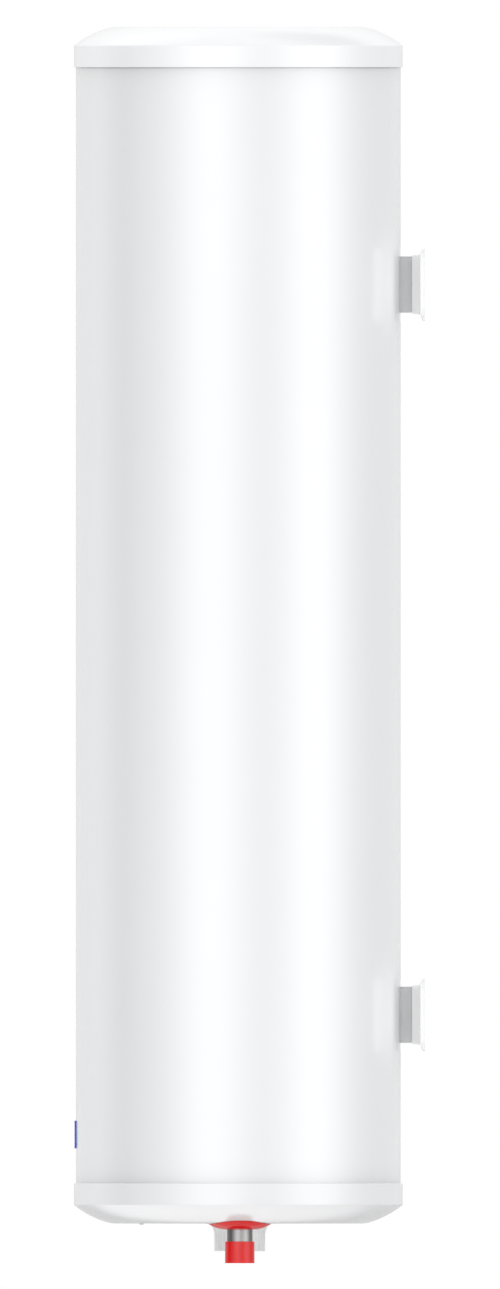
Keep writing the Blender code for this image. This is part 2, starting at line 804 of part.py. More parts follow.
def electrics_bracket():
    """A bent sheet ring clamped under the flange bolts, with a shelf for the controls."""
    high = FLANGE_PLATE_LOW - GAP
    ring = tube(0.0505, 0.037, high - SHEET, high)
    bracket = turned("electrics_bracket", ring, STEEL, sides=HIDDEN_SIDES)
    half_y = 0.008
    outside = 0.0505
    spans = []
    for side in (-1, 1):
        near, far = sorted((side * (outside - SHEET), side * outside))
        spans.append(((near, -half_y, SHELF_LOW + 0.0001), (far, half_y, high - 0.0001)))
    fuse(bracket, boxes("bracket_legs", spans, None))
    shelf = ((-outside + 0.0001, -0.022, SHELF_LOW), (outside - 0.0001, 0.022, SHELF_HIGH))
    fuse(bracket, boxes("bracket_shelf", [shelf], None))
    places = flange_bolt_holes(0.078, 0.09)
    cut(bracket, holes("bracket_bolt_holes", places, sides=BOLT_HOLE_SIDES))
    reset_hole = ((RESET_X, 0), rod(0.004, 0.03, 0.036))
    capillary_hole = ((0, CAPILLARY_Y), rod(0.0025, 0.03, 0.036))
    return cut(bracket, holes("shelf_holes", [reset_hole, capillary_hole]))


def safety_cutout():
    low = (RESET_X - 0.012, -0.014, SHELF_HIGH + GAP)
    high = (RESET_X + 0.012, 0.014, 0.050)
    body = boxes("safety_cutout", [(low, high)], DARK_PLASTIC, bevel=0.001)
    cut(body, holes("reset_bore", [((RESET_X, 0), rod(0.0033, 0.03, 0.044))]))
    outline = [
        (0, 0.0300),
        (0.0022, 0.0300),
        (0.0029, 0.0307),
        (0.0029, 0.0405),
        (0, 0.0405),
    ]
    turned("reset_button", outline, RED_PLASTIC, (RESET_X, 0, 0), sides=12)


def terminal_block():
    low, high = (-0.046, -0.015, SHELF_HIGH + GAP), (-0.024, 0.015, 0.048)
    block = boxes("terminal_block", [(low, high)], WHITE_PLASTIC, bevel=0.001)
    screws = [((-0.040, y), rod(0.0025, 0.043, 0.06)) for y in (-0.01, 0, 0.01)]
    return cut(block, holes("terminal_screw_wells", screws))


def wiring():
    block_top = 0.048 + GAP
    cutout_top = 0.050 + GAP
    pin = ELEMENT_PIN_END - GAP
    x, y = ELEMENT_HALF_WIDTH, ELEMENT_Y
    lamp_x, lamp_y = LAMP_PLACE
    routes = {
        "live_wire": (
            BROWN_WIRE,
            (-0.029, 0.0, block_top),
            (-0.029, 0.0, 0.053),
            (-0.012, -0.009, 0.054),
            (0.008, -0.009, 0.054),
            (0.022, -0.003, 0.056),
            (0.022, -0.003, cutout_top),
        ),
        "cutout_wire": (
            BROWN_WIRE,
            (0.036, -0.006, cutout_top),
            (0.036, -0.006, 0.059),
            (0.025, -0.014, 0.061),
            (x, -y, 0.058),
            (x, -y, pin),
        ),
        "element_link_wire": (
            BROWN_WIRE,
            (-x, -y, pin),
            (-x, -y, 0.060),
            (-x + 0.001, -0.004, 0.059),
            (-x + 0.001, 0.004, 0.059),
            (-x, y, 0.060),
            (-x, y, pin),
        ),
        "neutral_wire": (
            BLUE_WIRE,
            (-0.029, 0.010, block_top),
            (-0.029, 0.010, 0.056),
            (-0.008, 0.022, 0.061),
            (0.010, 0.020, 0.059),
            (x, y, 0.058),
            (x, y, pin),
        ),
        "earth_wire": (
            GREEN_WIRE,
            (-0.029, -0.010, block_top),
            (-0.029, -0.010, 0.056),
            (-0.034, -0.008, 0.064),
            (-0.043, 0.0, 0.066),
            (-0.043, 0.0, 0.076),
        ),
        "lamp_lead": (
            BROWN_WIRE,
            (0.023, -0.0105, cutout_top),
            (0.023, -0.0105, 0.055),
            (0.014, -0.034, 0.060),
            (0.004, -0.062, 0.044),
            (lamp_x, lamp_y, 0.036),
            (lamp_x, lamp_y, 0.018 + GAP),
        ),
    }
    for name, (material, *points) in routes.items():
        wire(name, points, material)


def indicator():
    floor = COVER_WALL + GAP
    lens = [
        (0, -0.0009),
        (0.0014, -0.0006),
        (0.0021, 0.0004),
        (0.0021, floor),
        (0.0034, floor),
        (0.0034, floor + 0.001),
        (0, floor + 0.001),
    ]
    turned("indicator_lens", lens, LENS, (*LAMP_PLACE, 0))
    lamp = rod(0.0038, floor + 0.001 + GAP, 0.018)
    turned("indicator_lamp", lamp, WHITE_PLASTIC, (*LAMP_PLACE, 0), sides=12)


def cable_entry():
    """The mains lead's strain relief: a dome nut outside and a locknut inside."""
    bore = 0.0036
    outline = [
        (bore, -0.0115),
        (0.0055, -0.0115),
        (0.0075, -0.0090),
        (0.0078, -0.0045),
        (0.0078, -0.0010),
        (0.0058, -0.0010),
        (0.0058, 0.0095),
        (bore, 0.0095),
    ]
    gland = turned("cable_gland", outline, WHITE_PLASTIC, (*GLAND_PLACE, 0), sides=24)
    hexagon = tube(0.0098, bore + 0.001, -0.0045, -GAP)
    fuse(gland, turned("gland_hexagon", hexagon, None, (*GLAND_PLACE, 0), sides=6))
    floor = COVER_WALL + GAP
    nut = rod(0.0095, floor, floor + 0.004)
    locknut = turned("gland_locknut", nut, WHITE_PLASTIC, (*GLAND_PLACE, 0), sides=6)
    cut(locknut, holes("locknut_bore", [(GLAND_PLACE, rod(0.0061, 0, 0.02))]))


# Wall brackets


def rounded_ring(bm, depth, half_x, half_z, corner, middle):
    """A ring of vertices on a rounded rectangle, this far in front of the wall."""
    steps = 3
    ring = []
    corners = ((1, 1, 0), (-1, 1, 90), (-1, -1, 180), (1, -1, 270))
    for side_x, side_z, start in corners:
        for i in range(steps + 1):
            angle = math.radians(start + 90 * i / steps)
            x = side_x * (half_x - corner) + corner * math.cos(angle)
            z = side_z * (half_z - corner) + corner * math.sin(angle)
            ring.append(bm.verts.new((x, WALL_TO_AXIS - depth, middle + z)))
    return ring


def bolt_holes(bm, middle, radius):
    """Adds the two bolt holes' cutters, which run towards the wall."""
    turn = Matrix.Rotation(math.radians(-90), 4, "X")
    for side in (-1, 1):
        made = bmesh.new()
        add_turned(made, rod(radius, 0.13, 0.16), sides=12)
        bmesh.ops.transform(made, matrix=turn, verts=made.verts)
        shift = Vector((side * BRACKET_BOLT_X, 0, middle))
        bmesh.ops.translate(made, vec=shift, verts=made.verts)
        mesh = bpy.data.meshes.new("bolt_hole")
        made.to_mesh(mesh)
        made.free()
        bm.from_mesh(mesh)
        bpy.data.meshes.remove(mesh)


def wall_plate(name, middle):
    """A flared cup, open to the wall, with the hook slot in its floor."""
    bm = bmesh.new()
    sections = (
        (CUP_DEPTH, 0.0250, 0.0240, 0.004),
        (0.0050, 0.0290, 0.0257, 0.005),
        (0.0033, 0.0350, 0.0282, 0.007),
        (0.0017, 0.0530, 0.0301, 0.010),
        (0.0, 0.0530, 0.0301, 0.010),
        (0.0, 0.0350, 0.0265, 0.007),
        (0.0040, 0.0270, 0.0238, 0.004),
        (CUP_DEPTH - CUP_FLOOR, 0.0230, 0.0222, 0.003),
    )
    rings = [rounded_ring(bm, *section, middle) for section in sections]
    for ring, following in zip(rings, rings[1:]):
        join_rings(bm, ring, following)
    bm.faces.new(rings[0])
    bm.faces.new(rings[-1])
    plate = from_bmesh(name, bm, WHITE_PLASTIC)
    slot_x, slot_z = 0.0055, 0.013
    low = (-slot_x, 0.14, middle - slot_z)
    high = (slot_x, WALL_TO_AXIS - 0.005, middle + slot_z)
    cut(plate, boxes(f"{name}_slot", [(low, high)], None))
    bm = bmesh.new()
    bolt_holes(bm, middle, 0.002)
    return cut(plate, from_bmesh(f"{name}_holes", bm, None))


def bracket_arm(name, middle):
    """A box channel from the saddle to the wall cup, with a lip turned in at its end."""
    half_x, half_z = ARM_HALF_WIDTH, ARM_HALF_HEIGHT
    end = WALL_TO_AXIS - CUP_DEPTH - GAP
    low, high = (-half_x, 0.105, middle - half_z), (half_x, end, middle + half_z)
    arm = boxes(name, [(low, high)], GREY_PAINT)
    round_end = rod(
        TANK_RADIUS + SADDLE_THICKNESS + 2 * GAP, middle - 0.05, middle + 0.05
    )
    cut(arm, turned(f"{name}_end", round_end, None, sides=ROUND_SIDES))
    half_x -= ARM_WALL
    half_z -= ARM_WALL
    low, high = (-half_x, 0.1, middle - half_z), (half_x, end - ARM_WALL, middle + half_z)
    cut(arm, boxes(f"{name}_inside", [(low, high)], None))
    mouth_x, mouth_z = ARM_MOUTH_HALF_WIDTH, half_z - 0.002
    low = (-mouth_x, end - 0.01, middle - mouth_z)
    high = (mouth_x, end + 0.01, middle + mouth_z)
    cut(arm, boxes(f"{name}_mouth", [(low, high)], None))
    bm = bmesh.new()
    bolt_holes(bm, middle, 0.002)
    return cut(arm, from_bmesh(f"{name}_holes", bm, None))


def bracket_saddle(name, middle):
    """A plate bent round the tank, to which the arm is welded."""
    bm = bmesh.new()
    inner = TANK_RADIUS + GAP
    outer = inner + SADDLE_THICKNESS
    low, high = middle - SADDLE_HALF_HEIGHT, middle + SADDLE_HALF_HEIGHT
    add_curved_plate(bm, inner, outer, 90, SADDLE_STEPS, low, high)
    return from_bmesh(name, bm, STEEL)


def bracket_bolts(side, middle):
    """Pan-head bolts that clamp the cup's floor to the arm's lip, heads towards the wall."""
    seat = WALL_TO_AXIS - CUP_DEPTH + CUP_FLOOR + GAP
    outline = [
        (0, 0.140),
        (0.0017, 0.140),
        (0.0017, seat),
        (0.0032, seat),
        (0.0032, seat + 0.0014),
        (0.0022, seat + 0.0021),
        (0, seat + 0.0021),
    ]
    for number, x in enumerate((-BRACKET_BOLT_X, BRACKET_BOLT_X), 1):
        bolt = turned(f"{side}_bracket_bolt_{number}", outline, STEEL, (x, 0, middle))
        bolt.rotation_euler.x = math.radians(-90)


def wall_brackets():
    heights = {"upper": UPPER_BRACKET_HEIGHT, "lower": LOWER_BRACKET_HEIGHT}
    for side, middle in heights.items():
        wall_plate(f"{side}_wall_plate", middle)
        bracket_arm(f"{side}_bracket_arm", middle)
        bracket_saddle(f"{side}_bracket_saddle", middle)
        bracket_bolts(side, middle)


def casing():
    outer_jacket()
    top_cover()
    bottom_cover()
    cover_screws()
    cover_tabs()
    front_badge()


def water_side():
    tank()
    insulation_foam()
    flange()
    flange_bolts()
    heating_element("heating_element_a", ELEMENT_Y, 0.350)
    heating_element("heating_element_b", -ELEMENT_Y, 0.260)
    anode_rod()
    thermowell()
    pipes()
    inlet_diffuser()
    for name, side, material in (("hot", 1, RED_PLASTIC), ("cold", -1, BLUE_PLASTIC)):
        rosette(f"{name}_rosette", side, material)
        pipe_cap(f"{name}_pipe_cap", side, material)


def electric_side():
    thermostat_knob()
    thermostat()
    thermostat_capillary()
    electrics_bracket()
    safety_cutout()
    terminal_block()
    wiring()
    indicator()
    cable_entry()


casing()
water_side()
electric_side()
wall_brackets()
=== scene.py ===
"""Looks of a slim wall-hung electric water heater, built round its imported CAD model.

Metres, in the model's own frame: +Z up, the wall is the plane Y = 0, the heater's front faces -Y
and its hot pipe is on the +X side. Every finished piece is modelled at its place in that frame, so
all objects sit at the origin. Sizes come from the CAD nodes' boxes where those give them.
"""

import json
import math

import bmesh
import bpy
from mathutils import Matrix, Vector


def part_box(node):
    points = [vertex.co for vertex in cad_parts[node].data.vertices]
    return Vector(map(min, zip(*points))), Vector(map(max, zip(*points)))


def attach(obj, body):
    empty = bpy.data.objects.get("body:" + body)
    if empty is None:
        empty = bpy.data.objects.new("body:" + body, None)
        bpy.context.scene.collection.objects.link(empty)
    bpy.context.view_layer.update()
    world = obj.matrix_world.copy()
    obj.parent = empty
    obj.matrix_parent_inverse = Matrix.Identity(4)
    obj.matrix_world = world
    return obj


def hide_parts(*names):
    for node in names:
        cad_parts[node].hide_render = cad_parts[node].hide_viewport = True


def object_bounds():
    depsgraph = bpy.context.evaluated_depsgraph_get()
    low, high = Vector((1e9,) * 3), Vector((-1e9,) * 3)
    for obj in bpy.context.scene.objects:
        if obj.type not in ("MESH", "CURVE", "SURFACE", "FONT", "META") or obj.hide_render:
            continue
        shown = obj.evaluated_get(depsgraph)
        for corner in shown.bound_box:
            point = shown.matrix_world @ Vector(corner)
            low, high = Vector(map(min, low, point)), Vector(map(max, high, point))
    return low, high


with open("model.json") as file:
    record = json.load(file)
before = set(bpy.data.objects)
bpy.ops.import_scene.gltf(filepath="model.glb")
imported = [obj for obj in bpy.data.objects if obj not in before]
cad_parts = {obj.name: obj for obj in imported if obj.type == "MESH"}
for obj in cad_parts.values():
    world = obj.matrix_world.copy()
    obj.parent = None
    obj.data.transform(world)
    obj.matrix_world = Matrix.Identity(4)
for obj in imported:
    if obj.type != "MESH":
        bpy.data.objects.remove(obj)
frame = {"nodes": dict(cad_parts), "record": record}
CAD_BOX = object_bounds()
CASING = "heater_body"

# Places read from the frame
JACKET_LOW, JACKET_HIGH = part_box("outer_jacket")
AXIS = (JACKET_LOW + JACKET_HIGH) / 2
JACKET_RADIUS = (JACKET_HIGH.x - JACKET_LOW.x) / 2
BOTTOM_COVER_LOW, BOTTOM_COVER_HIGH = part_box("bottom_cover")
TOP_COVER_LOW, TOP_COVER_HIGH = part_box("top_cover")
COVER_RADIUS = (BOTTOM_COVER_HIGH.x - BOTTOM_COVER_LOW.x) / 2
UNDERSIDE = BOTTOM_COVER_LOW.z
TOP = TOP_COVER_HIGH.z

# Modelling: clearance between pieces, sides of a circle and of a rounded corner, the angle in
# degrees above which an edge stays sharp, and a length that counts as nothing
GAP = 0.0003
ROUND_STEPS = 192
SMALL_STEPS = 64
CORNER_STEPS = 8
SHARP_ANGLE = 32
TINY = 1e-6

# Covers: a flat middle, a shoulder that rises along an arc, a straight skirt over the jacket
FLAT_RADIUS = 0.1055
SHOULDER_RISE = 0.0155
SHOULDER_ARC = 0.081
COVER_WALL = 0.0024
COVER_LEDGE = JACKET_LOW.z - UNDERSIDE - GAP
SKIRT_END = BOTTOM_COVER_HIGH.z - UNDERSIDE
LEDGE_RADIUS = JACKET_RADIUS - 0.0013

# Holes of the bottom cover: node at the centre, radius; its screw wells: radius, share of the
# wall that they take
COVER_HOLES = (
    ("hot_outlet_pipe", 0.0112),
    ("cold_inlet_pipe", 0.0112),
    ("thermostat_knob", 0.0040),
    ("cable_gland", 0.0062),
    ("indicator_lens", 0.0025),
)
SCREW_WELL_RADIUS = 0.0046
WELL_SHARE = 0.8

# Jacket: sheet, its windows (wider than the CAD's arms, and shorter by the inset at either end),
# and the rolled seam down its back
JACKET_SHEET = 0.0008
WINDOW_SPARE_X = 0.0005
WINDOW_INSET_Z = 0.0003
SEAM_HALF_WIDTH = 0.0006
SEAM_DEPTH = 0.0004

# Pipes: G 1/2 thread on the part that the cap covers; it starts with a chamfer and fades out
PIPE_RADIUS = 0.01065
PIPE_BORE = 0.008
THREAD_CREST = 0.01048
THREAD_PITCH = 0.001814
THREAD_DEPTH = 0.00116
THREAD_LENGTH = 0.0118
THREAD_RUN_OUT = 0.0012
ROWS_PER_TURN = 8
THREAD_CHAMFER = 0.0006
CHAMFER_TURNS = 1.2
FADE_TURNS = 1.5
HOT_PIPE_TOP = UNDERSIDE + 0.135
HOT_DIP_TUBE = 0.006

# Rosettes (the dish is flatter in its middle with a larger exponent) and thread caps, which
# reach this much higher than the CAD's
DISH_BORE = 0.0110
DISH_WALL = 0.0011
DISH_EXPONENT = 3.6
CAP_BORE = 0.0108
CAP_RISE = 0.0006

# Knob, which turns this many degrees, its dial and the lens
KNOB_GRIP = 0.0212
KNOB_FLARE = 0.0037
KNOB_FLARE_DEPTH = 0.010
KNOB_FLUTES = 30
KNOB_FLUTE_DEPTH = 0.00035
KNOB_FLUTE_START = 0.0195
KNOB_TURN = 270
DIAL_TICKS = 11
DIAL_RADIUS = 0.0270
LENS_RADIUS = 0.0021
LENS_FLANGE = 0.0034
LENS_BULGE = 0.0009

# Wall cups: floor, hook slot (half sizes and corner), how far the front stands before the
# CAD's, where the flare lies, its smaller half sizes and what it adds to them, how much sooner
# it spreads along X, its first corner, and its back face as a change of (y, half sizes, corner)
CUP_FLOOR = 0.0015
CUP_SLOT = (0.0055, 0.0130, 0.0020)
CUP_FRONT_RISE = 0.00025
FLARE_START = -0.0043
FLARE_END = -0.0018
FLARE_HALF_X = (0.0272, 0.0254)
FLARE_HALF_Z = (0.0250, 0.0048)
FLARE_HASTE_X = 3.5
FLARE_CORNER = 0.005
FLARE_BACK = (0.0014, -0.0012, -0.0013, -0.001)

# Bracket arms: sheet, half width of the mouth, radius of the saddle that they stand on, and how
# far the finished arm stays inside the CAD's, above and below
ARM_WALL = 0.002
ARM_MOUTH = 0.0072
SADDLE_RADIUS = 0.1196
ARM_SLACK_Z = 0.0005

# Screws: radius and height of the head, radius of the shank; where the cover screws' heads seat
COVER_SCREW = (0.0040, 0.0024, 0.0017)
COVER_SCREW_RISE = 0.0032
BRACKET_BOLT = (0.0032, 0.0021, 0.0017)

# Colours, and factors on them: painted shade on the enamel by the covers, painted light on the
# covers at the heater's bottom and top
ENAMEL_COOL = (0.800, 0.809, 0.821)
ENAMEL_WARM = (0.812, 0.818, 0.826)
# Painted shade: how much darker the enamel is painted by the covers
PAINTED_SHADE_FACTOR = 0.82
COVER_WHITE = (0.815, 0.821, 0.830)
# Painted light: the covers' white stays as it is at the underside and is made lighter at the top
PAINTED_LIGHT_LOW = (1.00, 1.01)
PAINTED_LIGHT_HIGH = (1.095, 1.105)
# Painted light: a lighter white for the wall cups, against the shade that the jacket throws on
# them
CUP_WHITE_LIT = (0.850, 0.855, 0.860)
RED = (0.74, 0.004, 0.004)
# Painted shade: the rosette's red is a darker copy of the caps' red
DISH_RED_SHADED = (0.703, 0.0038, 0.0038)
BLUE = (0.012, 0.05, 0.40)
STEEL = (0.40, 0.40, 0.405)
# Painted shade: a much darker copy of the steel for the pipes, which keeps them dark under the
# bright room
PIPE_STEEL_SHADED = (0.135, 0.134, 0.134)
COPPER = (0.58, 0.27, 0.16)
MAGNESIUM = (0.5, 0.5, 0.48)
FOAM_COLOURS = ((0.66, 0.54, 0.30), (0.80, 0.71, 0.48))
TANK_COLOURS = ((0.035, 0.07, 0.14), (0.18, 0.24, 0.34))
FLOOR_GREYS = ((0.83, 0.83, 0.83), (0.86, 0.86, 0.86))

# Moulded or painted pieces: colour, roughness, spread of the colour, fineness and depth of grain
MOULDED = {
    # painted light: the wall cups' lighter copy of the white plastic
    "cup_plastic_lit": (CUP_WHITE_LIT, 0.2, 0.006),
    "badge_blue": ((0.045, 0.095, 0.50), 0.25),
    "grey_paint": ((0.495, 0.500, 0.505), 0.4, 0.04, 1400.0),
    "grey_plastic": ((0.74, 0.745, 0.75), 0.35, 0.01),
    "red_plastic": (RED, 0.15, 0.015),
    # painted shade: the rosette's darker copy of the red plastic
    "red_dish_shaded": (DISH_RED_SHADED, 0.15, 0.015),
    "blue_plastic": (BLUE, 0.15, 0.015),
    "amber_lens": ((0.46, 0.42, 0.37), 0.12),
    "rubber": ((0.025, 0.025, 0.025), 0.7, 0.04, 1500.0, 0.0001),
    "dark_plastic": ((0.035, 0.035, 0.037), 0.45),
    "brown_wire": ((0.14, 0.05, 0.02), 0.4),
    "blue_wire": ((0.02, 0.09, 0.48), 0.4),
    "green_wire": ((0.10, 0.38, 0.03), 0.4),
}

# Those of them that mirror less than plastic usually does
WEAK_MIRRORS = {"red_plastic": 0.25, "badge_blue": 0.3, "red_dish_shaded": 0.14}

# How metal grain is stretched
ALONG_Z = (1.0, 1.0, 0.03)
EVENLY = (1, 1, 1)

# The jacket's painted shade by the covers: reach of the broad part and of the painted shadow line
# under the top cover, and how dark that line is
COVER_SHADE_REACH = 0.0065
COVER_LINE_REACH = 0.0006
COVER_LINE_WEIGHT = 3.2

# Tall soft lights that gloss sees: azimuth from +X towards +Y in degrees, half-width, strength
STRIPS = (
    (-19.0, 32.0, 3.9),
    (55.0, 30.0, 4.0),
    (-88.0, 13.0, -0.55),
    (-118.0, 12.0, 0.2),
    (180.0, 25.0, -0.15),
    (-180.0, 25.0, -0.15),
)

# The room as gloss sees it: its level at the horizon and how it grows upwards
GLOSS_BASE = 0.90
GLOSS_SLOPE = 0.65

# A dim and a bright panel overhead: direction, size, strength
PANELS = (
    ((-0.58, 0.28, 0.77), 0.025, -0.8),
    ((-0.60, -0.33, 0.73), 0.03, 0.3),
)

# The pale floor as gloss sees it: its edge, measured as the downward part of the direction
# (leaning a little to the front), and how it brightens straight below
FLOOR_LEAN = 0.18
FLOOR_EDGE = (0.42, 0.62)
FLOOR_RISE = 4.6
FLOOR_DROP = 1.7

# Soft light on dull surfaces: its level at the horizon and how it grows upwards
SOFT_LEVEL = 0.865
SOFT_SLOPE = 0.25

# The floor that soft light meets: radius, distance below the heater
FLOOR_RADIUS = 12.0
FLOOR_BELOW = 0.12

# Lit cards before the wall cups: strengths inside and outside, the distances from the middle
# where these change over, gap to the cup, and the distances from the middle that a card spans
CARD_LEVELS = (0.80, 1.52)
CARD_BRIGHTENS = (0.038, 0.056)
CARD_GAP = 0.0006
CARD_REACH = (0.0158, 0.0620)

# Camera: the height that the picture spans, its middle, and how far off the camera stands
VIEW_HEIGHT = 1.0711
VIEW_CENTRE_Y = -0.1453
VIEW_CENTRE_Z = -0.2991
CAMERA_DISTANCE = 3.4


# Modelling helpers


def centre_of(node):
    """The middle of a CAD node's box."""
    low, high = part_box(node)
    return (low + high) / 2


def spaced(start, end, steps):
    """The numbers from start to end in this many even steps."""
    return [start + (end - start) * i / steps for i in range(steps + 1)]


def soften(corners, steps, closed=False):
    """Turns (x, y, reach) corners into points, with a curve of this reach at each corner."""
    points = []
    count = len(corners)
    for i, (x, y, reach) in enumerate(corners):
        corner = Vector((x, y))
        ends = not closed and i in (0, count - 1)
        if reach == 0.0 or ends:
            points.append((x, y))
            continue
        before = Vector(corners[i - 1][:2])
        after = Vector(corners[(i + 1) % count][:2])
        start = corner + (before - corner).normalized() * reach
        end = corner + (after - corner).normalized() * reach
        for share in spaced(0, 1, steps):
            first = start.lerp(corner, share)
            second = corner.lerp(end, share)
            point = first.lerp(second, share)
            points.append((point.x, point.y))
    return points


def rounded_rectangle(half_x, half_z, corner):
    """Points (x, z) round a rectangle about the origin, from its right upper corner."""
    points = []
    for side_x, side_z, start in ((1, 1, 0), (-1, 1, 90), (-1, -1, 180), (1, -1, 270)):
        for angle in spaced(math.radians(start), math.radians(start + 90), CORNER_STEPS):
            x = side_x * (half_x - corner) + corner * math.cos(angle)
            z = side_z * (half_z - corner) + corner * math.sin(angle)
            points.append((x, z))
    return points


def join_rings(bm, ring, following):
    """Faces between two rings of vertices; a ring of one vertex is a point on the axis."""
    count = max(len(ring), len(following))
    if count == 1:
        return
    for i in range(count):
        after = (i + 1) % count
        if len(ring) == 1:
            bm.faces.new((ring[0], following[after], following[i]))
        elif len(following) == 1:
            bm.faces.new((ring[i], ring[after], following[0]))
        else:
            bm.faces.new((ring[i], ring[after], following[after], following[i]))


def join_loop(bm, rings):
    """Joins each ring to the next, and the last to the first."""
    for ring, following in zip(rings, rings[1:] + rings[:1]):
        join_rings(bm, ring, following)


def add_lathe(bm, outline, centre, steps=SMALL_STEPS, shape=None):
    """Adds a closed outline of (radius, height) turned about the vertical through centre.

    shape(angle, radius, height) may give a changed (radius, height) for each vertex.
    """
    rings = []
    for radius, height in outline:
        if radius < TINY:
            rings.append([bm.verts.new((centre[0], centre[1], height))])
            continue
        ring = []
        for i in range(steps):
            angle = math.tau * i / steps
            r, z = shape(angle, radius, height) if shape else (radius, height)
            x, y = centre[0] + r * math.cos(angle), centre[1] + r * math.sin(angle)
            ring.append(bm.verts.new((x, y, z)))
        rings.append(ring)
    join_loop(bm, rings)


def link_mesh(name, bm):
    """Turns a bmesh, with its normals outwards, into an object of the scene."""
    bmesh.ops.recalc_face_normals(bm, faces=bm.faces)
    mesh = bpy.data.meshes.new(name)
    bm.to_mesh(mesh)
    bm.free()
    obj = bpy.data.objects.new(name, mesh)
    bpy.context.scene.collection.objects.link(obj)
    return obj


def piece(name, bm, slot, nodes=(), body=CASING, look=None, cutters=()):
    """Finishes a mesh as a visible piece that rides on a body and stands for CAD nodes.

    It has its slot's material, unless another look is named.
    """
    obj = link_mesh(name, bm)
    if cutters:
        carve(obj, cutters)
    obj.data.materials.clear()
    obj.data.materials.append(LOOKS[look or slot])
    obj.data.shade_smooth()
    obj.data.set_sharp_from_angle(angle=math.radians(SHARP_ANGLE))
    shading = obj.modifiers.new("even_shading", "WEIGHTED_NORMAL")
    shading.keep_sharp = True
    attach(obj, body)
    if nodes:
        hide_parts(*nodes)


def turned(name, outline, centre, slot, steps, shape=None, **settings):
    """A piece of one outline turned about the vertical through centre; see add_lathe, piece."""
    bm = bmesh.new()
    add_lathe(bm, outline, centre, steps, shape)
    piece(name, bm, slot, **settings)


def carve(obj, cutters):
    """Cuts the cutters' shapes out of the object's mesh, then removes them."""
    for cutter in cutters:
        modifier = obj.modifiers.new("cut", "BOOLEAN")
        modifier.object = cutter
        modifier.operation = "DIFFERENCE"
        modifier.solver = "EXACT"
    graph = bpy.context.evaluated_depsgraph_get()
    uncut = obj.data
    obj.data = bpy.data.meshes.new_from_object(obj.evaluated_get(graph))
    obj.modifiers.clear()
    bpy.data.meshes.remove(uncut)
    for cutter in cutters:
        bpy.data.objects.remove(cutter)


def drill(places, low, high):
    """A cutter of vertical round holes at ((x, y), radius) places."""
    bm = bmesh.new()
    for centre, radius in places:
        outline = [(0, low), (radius, low), (radius, high), (0, high)]
        add_lathe(bm, outline, centre)
    return link_mesh("drill", bm)


# Materials


def maths(tree, operation, first, second=None):
    """One step of arithmetic on numbers or sockets, as a node; returns its output."""
    node = tree.nodes.new("ShaderNodeMath")
    node.operation = operation
    for socket, source in zip(node.inputs, (first, second)):
        if isinstance(source, float):
            socket.default_value = source
        elif source is not None:
            tree.links.new(source, socket)
    return node.outputs["Value"]


